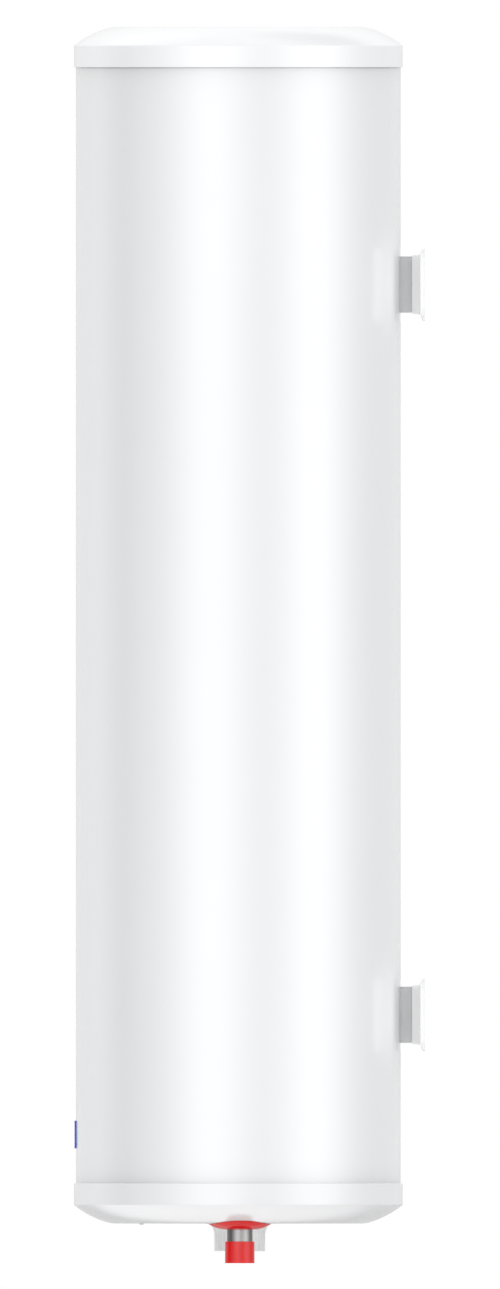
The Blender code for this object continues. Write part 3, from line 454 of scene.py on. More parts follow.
class Look:
    """Builds one procedural material; textures run in the model's own metres."""

    def __init__(self, name):
        self.material = bpy.data.materials.new(name)
        self.material.use_nodes = True
        self.tree = self.material.node_tree
        self.shader = self.tree.nodes["Principled BSDF"]
        self.place = self.tree.nodes.new("ShaderNodeTexCoord").outputs["Object"]

    def node(self, kind, **settings):
        """A new node with these properties."""
        node = self.tree.nodes.new(kind)
        for key, value in settings.items():
            setattr(node, key, value)
        return node

    def link(self, output, target):
        """Connects two sockets."""
        self.tree.links.new(output, target)

    def set(self, **values):
        """Sets sockets of the shader by name, with _ for a space."""
        for key, value in values.items():
            self.shader.inputs[key.replace("_", " ")].default_value = value
        return self

    def stretched(self, stretch):
        """The place, scaled by a factor for each axis."""
        mapping = self.node("ShaderNodeMapping")
        mapping.inputs["Scale"].default_value = stretch
        self.link(self.place, mapping.inputs["Vector"])
        return mapping.outputs["Vector"]

    def noise(self, scale, detail, stretch=None):
        """Noise of about 1/scale metres, from 0 to 1."""
        noise = self.node("ShaderNodeTexNoise")
        noise.inputs["Scale"].default_value = scale
        noise.inputs["Detail"].default_value = detail
        place = self.stretched(stretch) if stretch else self.place
        self.link(place, noise.inputs["Vector"])
        return noise.outputs["Fac"]

    def along(self, axis):
        """The place's distance along X, Y or Z."""
        split = self.node("ShaderNodeSeparateXYZ")
        self.link(self.place, split.inputs["Vector"])
        return split.outputs[axis]

    def near_covers(self):
        """Painted shade along the jacket, falling from each cover's rim; darkest in a line under
        the top one.
        """
        tree, height = self.tree, self.along("Z")
        below = maths(tree, "SUBTRACT", height, BOTTOM_COVER_HIGH.z)
        above = maths(tree, "SUBTRACT", TOP_COVER_LOW.z, height)
        distance = maths(tree, "MINIMUM", below, above)
        broad = maths(tree, "EXPONENT", maths(tree, "DIVIDE", distance, -COVER_SHADE_REACH))
        line = maths(tree, "EXPONENT", maths(tree, "DIVIDE", above, -COVER_LINE_REACH))
        return maths(tree, "ADD", broad, maths(tree, "MULTIPLY", line, COVER_LINE_WEIGHT))

    def cells(self, scale):
        """Distance to the middle of the nearest of cells about 1/scale metres wide."""
        cells = self.node("ShaderNodeTexVoronoi", feature="F1")
        cells.inputs["Scale"].default_value = scale
        self.link(self.place, cells.inputs["Vector"])
        return cells.outputs["Distance"]

    def spread(self, value, low, high, start=0.3, end=0.7):
        """Maps start to end, for a texture its usual range, onto low to high."""
        mapped = self.node("ShaderNodeMapRange")
        limits = {"From Min": start, "From Max": end, "To Min": low, "To Max": high}
        for key, limit in limits.items():
            mapped.inputs[key].default_value = limit
        self.link(value, mapped.inputs["Value"])
        return mapped.outputs["Result"]

    def blend(self, share, first, second):
        """A colour between two, by a texture's value."""
        mix = self.node("ShaderNodeMix", data_type="RGBA")
        self.link(share, mix.inputs["Factor"])
        for socket, colour in ((mix.inputs["A"], first), (mix.inputs["B"], second)):
            if isinstance(colour, tuple):
                socket.default_value = (*colour, 1.0)
            else:
                self.link(colour, socket)
        return mix.outputs["Result"]

    def colour(self, output):
        """Drives the base colour."""
        self.link(output, self.shader.inputs["Base Color"])

    def roughness(self, output):
        """Drives the roughness."""
        self.link(output, self.shader.inputs["Roughness"])

    def bump(self, height, distance, strength, below=None):
        """Adds relief this many metres deep, on top of the relief below it."""
        bump = self.node("ShaderNodeBump")
        bump.inputs["Distance"].default_value = distance
        bump.inputs["Strength"].default_value = strength
        self.link(height, bump.inputs["Height"])
        if below:
            self.link(below, bump.inputs["Normal"])
        self.link(bump.outputs["Normal"], self.shader.inputs["Normal"])
        return bump.outputs["Normal"]


def shade(colour, factor):
    """The colour made lighter or darker."""
    return tuple(min(1.0, channel * factor) for channel in colour)


def moulded(name, colour, roughness, variation=0.04, grain=900.0, depth=0.00002):
    """Moulded plastic: faint flow marks in the colour, uneven gloss and a fine grain."""
    look = Look(name)
    flow = look.spread(look.noise(14.0, 4.0), 0.0, 1.0)
    look.colour(look.blend(flow, shade(colour, 1 - variation), shade(colour, 1 + variation)))
    gloss = look.noise(60.0, 2.0)
    look.roughness(look.spread(gloss, roughness * 0.85, roughness * 1.15))
    look.bump(look.noise(grain, 2.0), depth, 0.5)
    return look


def metal(name, colour, roughness, stretch, scale):
    """Drawn, rolled or turned metal: fine lines along one direction and dull patches."""
    look = Look(name)
    variation = 0.1
    lines = look.noise(scale, 5.0, stretch)
    patches = look.noise(35.0, 4.0)
    tone = look.blend(
        look.spread(lines, 0.0, 1.0),
        shade(colour, 1 - variation),
        shade(colour, 1 + variation),
    )
    dull = shade(colour, 1 - 2 * variation)
    look.colour(look.blend(look.spread(patches, 0.0, 0.5, 0.5, 0.8), tone, dull))
    look.roughness(look.spread(lines, roughness * 0.8, roughness * 1.25))
    look.bump(lines, 0.00002, 0.4)
    return look.set(Metallic=1.0)


def enamel_look():
    """White enamelled sheet: faint orange peel under a clear gloss, and painted shade near the
    covers.
    """
    look = Look("white_enamel_look")
    drift = look.spread(look.noise(4.0, 2.0), 0.0, 1.0)
    unshaded = look.blend(drift, ENAMEL_COOL, ENAMEL_WARM)
    # Painted shade: a darker copy of the enamel, mixed in towards the covers' rims
    painted_shade = look.blend(drift, shade(ENAMEL_COOL, PAINTED_SHADE_FACTOR), shade(ENAMEL_WARM, PAINTED_SHADE_FACTOR))
    shading = look.node("ShaderNodeMix", data_type="RGBA", clamp_factor=False)
    look.link(look.near_covers(), shading.inputs["Factor"])
    look.link(unshaded, shading.inputs["A"])
    look.link(painted_shade, shading.inputs["B"])
    look.colour(shading.outputs["Result"])
    look.roughness(look.spread(look.noise(30.0, 3.0), 0.20, 0.25))
    sag = look.bump(look.noise(9.0, 1.0), 0.0004, 0.25)
    look.bump(look.noise(420.0, 2.0), 0.00001, 0.35, sag)
    return look.set(Coat_Weight=0.6, Coat_Roughness=0.17, Coat_IOR=1.5)


def make_looks():
    """One material for each slot, and a few more for pieces with a finish of their own."""
    looks = {
        "white_enamel": enamel_look(),
        "white_plastic": white_plastic_look(),
        "steel": metal("steel_look", STEEL, 0.35, ALONG_Z, 900.0),
        # painted shade: the pipes' darker copy of the steel
        "pipe_steel_shaded": metal("pipe_steel_look", PIPE_STEEL_SHADED, 0.30, ALONG_Z, 900.0),
        "copper_sheath": metal("copper_look", COPPER, 0.3, ALONG_Z, 600.0),
        "magnesium": metal("magnesium_look", MAGNESIUM, 0.55, EVENLY, 400.0),
        "foam": foam_look(),
        "tank_enamel": tank_look(),
    }
    for slot, settings in MOULDED.items():
        looks[slot] = moulded(f"{slot}_look", *settings)
    for slot, level in WEAK_MIRRORS.items():
        looks[slot].set(Specular_IOR_Level=level)
    return {slot: look.material for slot, look in looks.items()}


def white_plastic_look():
    """Glossy moulded white plastic, with painted light: greyer low down and lighter high up."""
    look = moulded("white_plastic_look", COVER_WHITE, 0.16, variation=0.006)
    # Painted light: the colour blends from the greyer shades at the underside to the lighter ones
    # at the top
    share = look.spread(look.along("Z"), 0.0, 1.0, UNDERSIDE, TOP)
    flow = look.spread(look.noise(14.0, 4.0), 0.0, 1.0)
    low = look.blend(flow, *[shade(COVER_WHITE, factor) for factor in PAINTED_LIGHT_LOW])
    high = look.blend(flow, *[shade(COVER_WHITE, factor) for factor in PAINTED_LIGHT_HIGH])
    look.colour(look.blend(share, low, high))
    return look.set(Specular_IOR_Level=0.65)


def foam_look():
    """Rigid foam: cream and amber blotches and open cells."""
    look = Look("foam_look")
    blotches = look.spread(look.noise(40.0, 5.0), 0.0, 1.0)
    look.colour(look.blend(blotches, *FOAM_COLOURS))
    look.bump(look.cells(700.0), 0.0006, 0.7)
    return look.set(Roughness=0.92)


def tank_look():
    """Glass-lined steel: dark blue with pale flecks and a rippled gloss."""
    look = Look("tank_enamel_look")
    flecks = look.spread(look.cells(320.0), 1.0, 0.0, 0.10, 0.22)
    look.colour(look.blend(flecks, *TANK_COLOURS))
    look.bump(look.noise(120.0, 2.0), 0.0001, 0.4)
    return look.set(Roughness=0.22)


LOOKS = make_looks()

# Jacket and covers


def shoulder_centre():
    """Centre, as (radius, height above the underside), of the shoulder's arc."""
    start = Vector((FLAT_RADIUS, 0.0))
    end = Vector((COVER_RADIUS, SHOULDER_RISE))
    chord = end - start
    inwards = Vector((-chord.y, chord.x)).normalized()
    drop = math.sqrt(SHOULDER_ARC**2 - chord.length_squared / 4)
    return (start + end) / 2 + inwards * drop


SHOULDER_CENTRE = shoulder_centre()


def shoulder_height(radius, wall=0.0):
    """How far the cover's surface lies above the underside at this distance from the axis."""
    if radius < FLAT_RADIUS:
        return wall
    across = radius - SHOULDER_CENTRE.x
    return SHOULDER_CENTRE.y - math.sqrt((SHOULDER_ARC - wall) ** 2 - across**2)


def cover_outline():
    """The cover as (radius, height above the underside), with every edge softened."""
    bend, edge_bend = 0.004, 0.0006
    radii = spaced(FLAT_RADIUS + bend, COVER_RADIUS - edge_bend, 14)
    arc = [(radius, shoulder_height(radius)) for radius in radii]
    blend = soften([(0.0, 0.0, 0), (FLAT_RADIUS, 0.0, bend), (*arc[0], 0)], 6)
    edge = (COVER_RADIUS, shoulder_height(COVER_RADIUS))
    bore = JACKET_RADIUS + GAP
    skirt = [
        (*arc[-1], 0),
        (*edge, edge_bend),
        (COVER_RADIUS, SKIRT_END, 0.0005),
        (bore, SKIRT_END, 0.0004),
        (bore, COVER_LEDGE, 0),
        (LEDGE_RADIUS, COVER_LEDGE, 0),
    ]
    radii = spaced(LEDGE_RADIUS, FLAT_RADIUS, 6)
    inside = [(radius, shoulder_height(radius, COVER_WALL)) for radius in radii]
    outside = blend[:-1] + arc[:-1] + soften(skirt, 4)
    return outside + inside + [(0.0, COVER_WALL)]


def top_cover():
    """The cover's outline upside down."""
    outline = [(radius, TOP - height) for radius, height in cover_outline()]
    turned("top_cap", outline, AXIS, "white_plastic", ROUND_STEPS, nodes=["top_cover"])


def bottom_cover():
    """The cover with its holes, and with a shallow well for each screw's head."""
    outline = [(radius, UNDERSIDE + height) for radius, height in cover_outline()]
    below, above = UNDERSIDE - 0.01, UNDERSIDE + 0.03
    seat = UNDERSIDE + COVER_WALL * WELL_SHARE
    holes = [(centre_of(node), radius) for node, radius in COVER_HOLES]
    wells = []
    for node in ("cover_screw_1", "cover_screw_2"):
        wells.append((centre_of(node), SCREW_WELL_RADIUS))
    cutters = [drill(holes, below, above), drill(wells, below, seat)]
    settings = {"nodes": ["bottom_cover"], "cutters": cutters}
    turned("bottom_cap", outline, AXIS, "white_plastic", ROUND_STEPS, **settings)


def jacket():
    """The rolled sheet, with its windows for the bracket arms and its seam down the back."""
    windows = []
    for node in ("lower_bracket_arm", "upper_bracket_arm"):
        low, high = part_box(node)
        windows.append((low.z + WINDOW_INSET_Z, high.z - WINDOW_INSET_Z))
    half_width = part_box("upper_bracket_arm")[1].x + WINDOW_SPARE_X
    half_window = math.asin(half_width / JACKET_RADIUS)
    seam = math.radians(90)
    seam_half = SEAM_HALF_WIDTH / JACKET_RADIUS

    # Even columns, except where a window or the seam needs a column of its own
    spacing = math.tau / ROUND_STEPS
    exact = {seam - half_window, seam + half_window}
    exact |= {seam + seam_half * share for share in (-2, -1, 1, 2)}
    angles = {spacing * i for i in range(ROUND_STEPS)}
    spare = {a for a in angles if any(abs(a - e) <= spacing / 3 for e in exact)}
    angles = sorted(angles - spare | exact)
    heights = sorted({JACKET_LOW.z, JACKET_HIGH.z, *windows[0], *windows[1]})

    def in_window(column, row):
        if column == len(angles) - 1:
            return False
        middle = (angles[column] + angles[column + 1]) / 2
        inside = abs(middle - seam) < half_window
        level = (heights[row] + heights[row + 1]) / 2
        return inside and any(low < level < high for low, high in windows)

    def ring_of(radius, height, groove):
        ring = []
        for angle in angles:
            in_seam = abs(angle - seam) < 1.5 * seam_half
            r = radius - (groove if in_seam else 0.0)
            x, y = AXIS.x + r * math.cos(angle), AXIS.y + r * math.sin(angle)
            ring.append(bm.verts.new((x, y, height)))
        return ring

    bm = bmesh.new()
    outside = [ring_of(JACKET_RADIUS, z, SEAM_DEPTH) for z in heights]
    inside = [ring_of(JACKET_RADIUS - JACKET_SHEET, z, 0.0) for z in heights]
    for row in range(len(heights) - 1):
        for column in range(len(angles)):
            if in_window(column, row):
                continue
            after = (column + 1) % len(angles)
            for sheet in (outside, inside):
                low, high = sheet[row], sheet[row + 1]
                bm.faces.new((low[column], low[after], high[after], high[column]))
    join_open_edges(bm, outside, inside)
    piece("jacket_sheet", bm, "white_enamel", ["outer_jacket"])


def join_open_edges(bm, outside, inside):
    """Closes a double sheet: a face between each open edge outside and its twin inside."""
    twin = {}
    for outer_ring, inner_ring in zip(outside, inside):
        twin.update(zip(outer_ring, inner_ring))
    for edge in [edge for edge in bm.edges if len(edge.link_faces) == 1]:
        first, second = edge.verts
        if first in twin and second in twin:
            bm.faces.new((first, second, twin[second], twin[first]))
    loose = [v for v in bm.verts if not v.link_faces]
    bmesh.ops.delete(bm, geom=loose, context="VERTS")


def badge():
    """A blank blue plate bent to the jacket, with rounded corners and a raised border."""
    low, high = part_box("front_badge")
    middle = centre_of("front_badge")
    half_angle = math.asin((high.x - low.x) / 2 / JACKET_RADIUS)
    half_x, half_z = half_angle * JACKET_RADIUS, (high.z - low.z) / 2
    proud = AXIS.y - JACKET_RADIUS - low.y

    border, edge, back_gap = 0.0014, 0.0004, 0.00005
    # Inset from the plate's outline, radius of the corners, distance out from the jacket
    sections = [
        (0.0, 0.0030, back_gap),
        (0.0, 0.0030, proud - edge),
        (edge, 0.0026, proud),
        (border, 0.0018, proud),
        (border + edge, 0.0015, proud - edge),
    ]
    bm = bmesh.new()
    rings = []
    for inset, corner, out in sections:
        ring = []
        for x, z in rounded_rectangle(half_x - inset, half_z - inset, corner):
            angle = x / JACKET_RADIUS - math.pi / 2
            r = JACKET_RADIUS + out
            place = (AXIS.x + r * math.cos(angle), AXIS.y + r * math.sin(angle), middle.z + z)
            ring.append(bm.verts.new(place))
        rings.append(ring)
    for first, second in zip(rings, rings[1:]):
        join_rings(bm, first, second)
    for end in (rings[0], rings[-1]):
        fill_strips(bm, end)
    piece("badge_plate", bm, "badge_blue", ["front_badge"])


def fill_strips(bm, ring):
    """Closes a ring of four rounded corners with strips across, so that it stays bent."""
    quarter = len(ring) // 4
    left = ring[quarter : 3 * quarter]
    right = (ring[3 * quarter :] + ring[:quarter])[::-1]
    for i in range(len(left) - 1):
        bm.faces.new((right[i], right[i + 1], left[i + 1], left[i]))


# Pipes and what sits on them


def pipe_stub(name, node, top, dip_tube=0.0):
    """A pipe end with a real screw thread and its bore; dip_tube is the radius of a tube above."""
    low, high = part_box(node)
    thread_top = low.z + THREAD_LENGTH
    rows = int(THREAD_LENGTH / THREAD_PITCH * ROWS_PER_TURN)
    outline = [(PIPE_BORE, low.z)]
    outline += [(THREAD_CREST, height) for height in spaced(low.z, thread_top, rows)]
    outline += [(PIPE_RADIUS, thread_top + THREAD_RUN_OUT), (PIPE_RADIUS, top)]
    if dip_tube:
        tube_bore, step = dip_tube - 0.001, top - 0.003
        outline += [(dip_tube, top), (dip_tube, high.z), (tube_bore, high.z)]
        outline += [(tube_bore, step), (PIPE_BORE, step)]
    else:
        outline.append((PIPE_BORE, top))

    def thread(angle, radius, height):
        on_crest = abs(radius - THREAD_CREST) < TINY
        if not on_crest or height > thread_top + TINY:
            return radius, height
        along = (height - low.z) / THREAD_PITCH - angle / math.tau
        groove = THREAD_DEPTH * abs(2 * (along % 1.0) - 1)
        start = min(1.0, (height - low.z) / (CHAMFER_TURNS * THREAD_PITCH))
        end = min(1.0, (thread_top - height) / (FADE_TURNS * THREAD_PITCH))
        chamfer = THREAD_CHAMFER * (1 - start)
        return THREAD_CREST - chamfer - groove * max(end, 0.0), height

    centre = centre_of(node)
    # The pipe takes the darker copy of the steel: painted shade
    turned(name, outline, centre, "steel", 48, thread, nodes=[node], look="pipe_steel_shaded")


def rosette(name, node, pipe_node, look, slot):
    """A shallow dished cover whose rim leans up the bottom cover's shoulder."""
    low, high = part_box(node)
    pipe = centre_of(pipe_node)
    rim = (high.y - low.y) / 2
    depth = UNDERSIDE - low.z
    lip, rim_gap = 0.0008, 0.0003

    def dish(radius):
        return -depth * (1 - (radius / rim) ** DISH_EXPONENT)

    outside, inside = [], []
    for radius in spaced(DISH_BORE + lip, rim - rim_gap, 16):
        outside.append((radius, min(dish(radius), -rim_gap)))
        inside.append((radius, min(dish(radius) + DISH_WALL, -rim_gap / 3)))
    mouth = dish(DISH_BORE)
    outline = [(DISH_BORE, mouth + lip), (DISH_BORE + lip / 4, mouth + lip / 4)]
    outline += outside + [(rim, -rim_gap * 2 / 3)] + inside[::-1]

    def lean(angle, radius, height):
        x = pipe.x - AXIS.x + radius * math.cos(angle)
        y = pipe.y - AXIS.y + radius * math.sin(angle)
        seat = shoulder_height(math.hypot(x, y))
        share = max(0.0, (radius - DISH_BORE) / (rim - DISH_BORE))
        return radius, UNDERSIDE + height + share * seat

    turned(name, outline, pipe, slot, 96, lean, nodes=[node], look=look)


def pipe_cap(name, node, body, slot):
    """A thread cap: rounded rims, a shallow dish in its end and the moulding's gate mark."""
    low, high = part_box(node)
    radius = (high.x - low.x) / 2
    floor, top = low.z + 0.0017, high.z + CAP_RISE
    gate_mark, dish = low.z + 0.0003, low.z + 0.0007
    corners = [
        (0.0, gate_mark, 0),
        (0.0008, gate_mark, 0.0001),
        (0.0011, dish, 0.0001),
        (0.0085, dish, 0.0005),
        (0.0100, low.z, 0.0004),
        (radius, low.z, 0.0004),
        (radius, top, 0.0003),
        (CAP_BORE, top, 0.0003),
        (CAP_BORE, floor, 0.0006),
        (0.0, floor, 0),
    ]
    outline = soften(corners, 4)
    turned(name, outline, centre_of(node), slot, 96, nodes=[node], body=body)


# Underside controls


def knob():
    """A fluted grip under a flared skirt, with a dished face and a pointer groove."""
    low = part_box("thermostat_knob")[0]
    centre = centre_of("thermostat_knob")
    hub, hub_end, face = 0.0033, UNDERSIDE - 0.0145, low.z + 0.0009
    pointer_place, pointer_size = 0.0150, (0.0130, 0.0011, 0.0012)
    outline = [(hub, UNDERSIDE - GAP)]
    for depth in spaced(GAP, KNOB_FLARE_DEPTH, 14):
        out = KNOB_FLARE * (1 - depth / KNOB_FLARE_DEPTH) ** 2.2
        outline.append((KNOB_GRIP + out, UNDERSIDE - depth))
    corners = [
        (KNOB_GRIP, low.z + 0.006, 0),
        (KNOB_GRIP, low.z, 0.0011),
        (0.0188, low.z, 0.0006),
        (0.0180, face, 0.0006),
        (0.0, face, 0),
    ]
    outline += soften(corners, 5)
    outline += [(0.0, hub_end), (hub, hub_end)]

    def flute(angle, radius, height):
        if radius < KNOB_FLUTE_START:
            return radius, height
        share = min(1.0, (radius - KNOB_FLUTE_START) / (KNOB_GRIP - KNOB_FLUTE_START))
        wave = abs(math.cos(KNOB_FLUTES / 2 * angle)) ** 0.7
        return radius - KNOB_FLUTE_DEPTH * share * (1 - wave), height

    pointer = bmesh.new()
    turn = Matrix.Translation(centre) @ Matrix.Rotation(math.radians(-KNOB_TURN / 2), 4, "Z")
    shift = Matrix.Translation((pointer_place, 0, face - centre.z))
    size = Matrix.Diagonal((*pointer_size, 1))
    bmesh.ops.create_cube(pointer, size=1.0, matrix=turn @ shift @ size)
    bmesh.ops.bevel(pointer, geom=pointer.edges[:], offset=0.0002, segments=2, affect="EDGES")
    cutters = [link_mesh("pointer_groove", pointer)]
    settings = {"nodes": ["thermostat_knob"], "body": "knob", "cutters": cutters}
    turned("knob_grip", outline, centre, "grey_plastic", 8 * KNOB_FLUTES, flute, **settings)


def dial_scale():
    """Raised ticks round the knob, growing from cool to hot, over the arc that it turns."""
    centre = centre_of("thermostat_knob")
    shortest, growth, width, height = 0.0018, 0.0030, 0.0009, 0.0006
    sunk = 0.0002
    middle = Matrix.Translation((centre.x, centre.y, UNDERSIDE + sunk))
    bm = bmesh.new()
    for share in spaced(0, 1, DIAL_TICKS - 1):
        angle = math.radians(KNOB_TURN * (share - 0.5))
        length = shortest + growth * share
        turn = Matrix.Rotation(angle, 4, "Z")
        shift = Matrix.Translation((DIAL_RADIUS + length / 2, 0, 0))
        size = Matrix.Diagonal((length, width, height, 1))
        made = bmesh.ops.create_cube(bm, size=1.0, matrix=middle @ turn @ shift @ size)
        edges = {edge for vertex in made["verts"] for edge in vertex.link_edges}
        bmesh.ops.bevel(bm, geom=list(edges), offset=0.0001, segments=2, affect="EDGES")
    piece("dial_scale", bm, "grey_paint")


def lens():
    """The lamp's lens: a low dome below the cover, held by a flange above it."""
    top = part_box("indicator_lens")[1].z
    seat = UNDERSIDE + COVER_WALL + GAP
    outline = []
    for angle in spaced(0, math.pi / 2, 8):
        height = UNDERSIDE - LENS_BULGE * math.cos(angle)
        outline.append((LENS_RADIUS * math.sin(angle), height))
    outline += [(LENS_RADIUS, seat), (LENS_FLANGE, seat), (LENS_FLANGE, top), (0.0, top)]
    centre = centre_of("indicator_lens")
    turned("lamp_lens", outline, centre, "amber_lens", 32, nodes=["indicator_lens"])


def gland_hexagon(centre, low, high):
    """A hexagonal ring with chamfered corners, 17 mm across its flats."""
    flat, bore, chamfer = 0.0085, 0.0058, 0.0005
    sixth, half = math.radians(60), math.radians(30)
    point = flat / math.cos(half)
    outline = [
        (bore, low),
        (flat, low),
        (point, low + chamfer),
        (point, high - chamfer),
        (flat, high),
        (bore, high),
    ]

    def shape(angle, radius, height):
        if radius <= bore + TINY:
            return radius, height
        from_flat = (angle + half) % sixth - half
        return min(flat / math.cos(from_flat), radius), height

    nodes = ["cable_gland"]
    turned("gland_hexagon", outline, centre, "white_plastic", 72, shape, nodes=nodes)


def cable_gland():
    """The mains lead's entry: hexagon, grooved dome nut and rubber seal."""
    nodes, centre = ["cable_gland"], centre_of("cable_gland")
    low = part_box("cable_gland")[0]
    nut_top, tube_top, seal_top = UNDERSIDE - 0.0048, UNDERSIDE + 0.0090, UNDERSIDE + 0.0060
    gland_hexagon(centre, nut_top + GAP, UNDERSIDE - GAP)

    corners = [
        (0.0050, low.z, 0.0003),
        (0.0060, low.z, 0.0009),
        (0.0076, low.z + 0.0030, 0.0012),
        (0.0078, nut_top, 0.0003),
        (0.0060, nut_top, 0),
        (0.0056, tube_top, 0),
        (0.0050, tube_top, 0),
    ]
    grooved_from, groove_depth, groove_count = 0.0070, 0.00025, 18

    def grooves(angle, radius, height):
        if radius < grooved_from:
            return radius, height
        wave = abs(math.cos(groove_count / 2 * angle)) ** 0.6
        return radius - groove_depth * (1 - wave), height

    outline = soften(corners, 4, True)
    turned("gland_dome_nut", outline, centre, "white_plastic", 144, grooves, nodes=nodes)

    seal_bore, seal_radius = 0.0036, 0.00495
    seal = [
        (seal_bore, low.z + 0.0006, 0.0004),
        (seal_radius, low.z + 0.0002, 0.0002),
        (seal_radius, seal_top, 0),
        (seal_bore, seal_top, 0),
    ]
    turned("gland_seal", soften(seal, 3, True), centre, "rubber", 48, nodes=nodes)


def screw(name, node, place, axis, head_radius, head_height, shank_radius, shank_length):
    """A pan-head screw with a cross recess; axis points from its head along its shank."""
    turn = Vector((0, 0, 1)).rotation_difference(Vector(axis)).to_matrix().to_4x4()
    stand = Matrix.Translation(place) @ turn
    corners = [
        (0.0, -head_height, 0),
        (head_radius * 0.75, -head_height, head_radius * 0.2),
        (head_radius, -head_height * 0.35, head_height * 0.25),
        (head_radius, 0.0, 0.0001),
        (shank_radius, 0.0, 0),
        (shank_radius, shank_length, 0.0003),
        (0.0, shank_length, 0),
    ]
    bm = bmesh.new()
    add_lathe(bm, soften(corners, 4), (0, 0, 0), 40)
    bmesh.ops.transform(bm, matrix=stand, verts=bm.verts)
    # Two bars cut the recess one after the other; they differ a little in width and depth, since
    # faces in one plane upset the cut
    cross = []
    shift = Matrix.Translation((0, 0, -head_height))
    for angle, width in ((20, 0.24), (110, 0.25)):
        spin = Matrix.Rotation(math.radians(angle), 4, "Z")
        depth = head_height * 1.1 + width * 0.0001
        size = Matrix.Diagonal((head_radius * 1.15, head_radius * width, depth, 1))
        bar = bmesh.new()
        bmesh.ops.create_cube(bar, size=1.0, matrix=stand @ spin @ shift @ size)
        cross.append(link_mesh("cross_recess", bar))
    piece(name, bm, "steel", [node], cutters=cross)


def cover_screws():
    """The two screws that hold the bottom cover, their heads sunk in its wells."""
    for number in (1, 2):
        node = f"cover_screw_{number}"
        place = centre_of(node)
        place.z = UNDERSIDE + COVER_SCREW_RISE
        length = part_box(node)[1].z - place.z
        screw(f"lid_screw_{number}", node, place, (0, 0, 1), *COVER_SCREW, length)


# Wall brackets


def ring_body(bm, sections, middle):
    """A closed skin through rounded rectangles that face the wall, the last joined to the first.

    Each section is (y, half x, half z, corner); y may be a function of x.
    """
    rings = []
    for y, half_x, half_z, corner in sections:
        ring = []
        for x, z in rounded_rectangle(half_x, half_z, corner):
            depth = y(x) if callable(y) else y
            ring.append(bm.verts.new((x, depth, middle + z)))
        rings.append(ring)
    join_loop(bm, rings)


def wall_cup(side):
    """A moulded cup that flares into a rim against the wall, with the hook slot in its floor."""
    node = f"{side}_wall_plate"
    low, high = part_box(node)
    middle = (low.z + high.z) / 2
    front = low.y - CUP_FRONT_RISE
    floor = front + CUP_FLOOR
    flare, back = [], []
    for share in spaced(0, 1, 8):
        ease = share * share * (3 - 2 * share)
        y = FLARE_START + (FLARE_END - FLARE_START) * share
        half_x = FLARE_HALF_X[0] + FLARE_HALF_X[1] * min(1.0, FLARE_HASTE_X * share)
        half_z = FLARE_HALF_Z[0] + FLARE_HALF_Z[1] * ease
        corner = FLARE_CORNER * (1 + share)
        flare.append((y, half_x, half_z, corner))
        back.append(tuple(a + b for a, b in zip(flare[-1], FLARE_BACK)))
    sections = [
        (front, *CUP_SLOT),
        (front, 0.0246, 0.0239, 0.0034),
        (front + 0.0002, 0.0250, 0.0242, 0.0038),
        (front + 0.0006, 0.0251, 0.0243, 0.0040),
        *flare,
        (FLARE_END + 0.0003, 0.0530, 0.0301, 0.0103),
        (-0.0003, 0.0530, 0.0301, 0.0103),
        (0.0, 0.0528, 0.0299, 0.0100),
        (0.0, 0.0500, 0.0284, 0.0090),
        *reversed(back[:-1]),
        (floor + 0.0006, 0.0232, 0.0224, 0.0032),
        (floor, 0.0226, 0.0218, 0.0028),
        (floor, *CUP_SLOT),
    ]
    bm = bmesh.new()
    ring_body(bm, sections, middle)
    # The cup takes the lighter copy of the white plastic: painted light
    piece(f"{side}_wall_cup", bm, "white_plastic", [node], look="cup_plastic_lit")


def arm(side):
    """A box channel from the saddle to the cup, with its end turned in round a mouth."""
    node = f"{side}_bracket_arm"
    low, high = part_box(node)
    middle = (low.z + high.z) / 2
    half_x, half_z = (high.x - low.x) / 2, (high.z - low.z) / 2 - ARM_SLACK_Z
    mouth_z = half_z - 0.004
    inside_x, inside_z = half_x - ARM_WALL, half_z - ARM_WALL
    edge = 0.0002
    third = edge / 3

    def on_saddle(x):
        return AXIS.y + math.sqrt(SADDLE_RADIUS**2 - x**2)

    sections = [
        (on_saddle, half_x, half_z, 0.0030),
        (high.y - edge, half_x, half_z, 0.0030),
        (high.y - third, half_x - third, half_z - third, 0.0028),
        (high.y, half_x - edge, half_z - edge, 0.0022),
        (high.y, ARM_MOUTH, mouth_z, 0.0010),
        (high.y - ARM_WALL, ARM_MOUTH, mouth_z, 0.0010),
        (high.y - ARM_WALL, inside_x, inside_z, 0.0012),
        (on_saddle, inside_x, inside_z, 0.0012),
    ]
    bm = bmesh.new()
    ring_body(bm, sections, middle)
    piece(f"{side}_arm", bm, "grey_paint", [node])


def bracket_bolts(side):
    """The two screws that hold a cup to its arm."""
    head_height = BRACKET_BOLT[1]
    for number in (1, 2):
        node = f"{side}_bracket_bolt_{number}"
        low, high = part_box(node)
        place = centre_of(node)
        place.y = high.y - head_height
        length = place.y - low.y
        screw(f"{side}_bolt_{number}", node, place, (0, -1, 0), *BRACKET_BOLT, length)


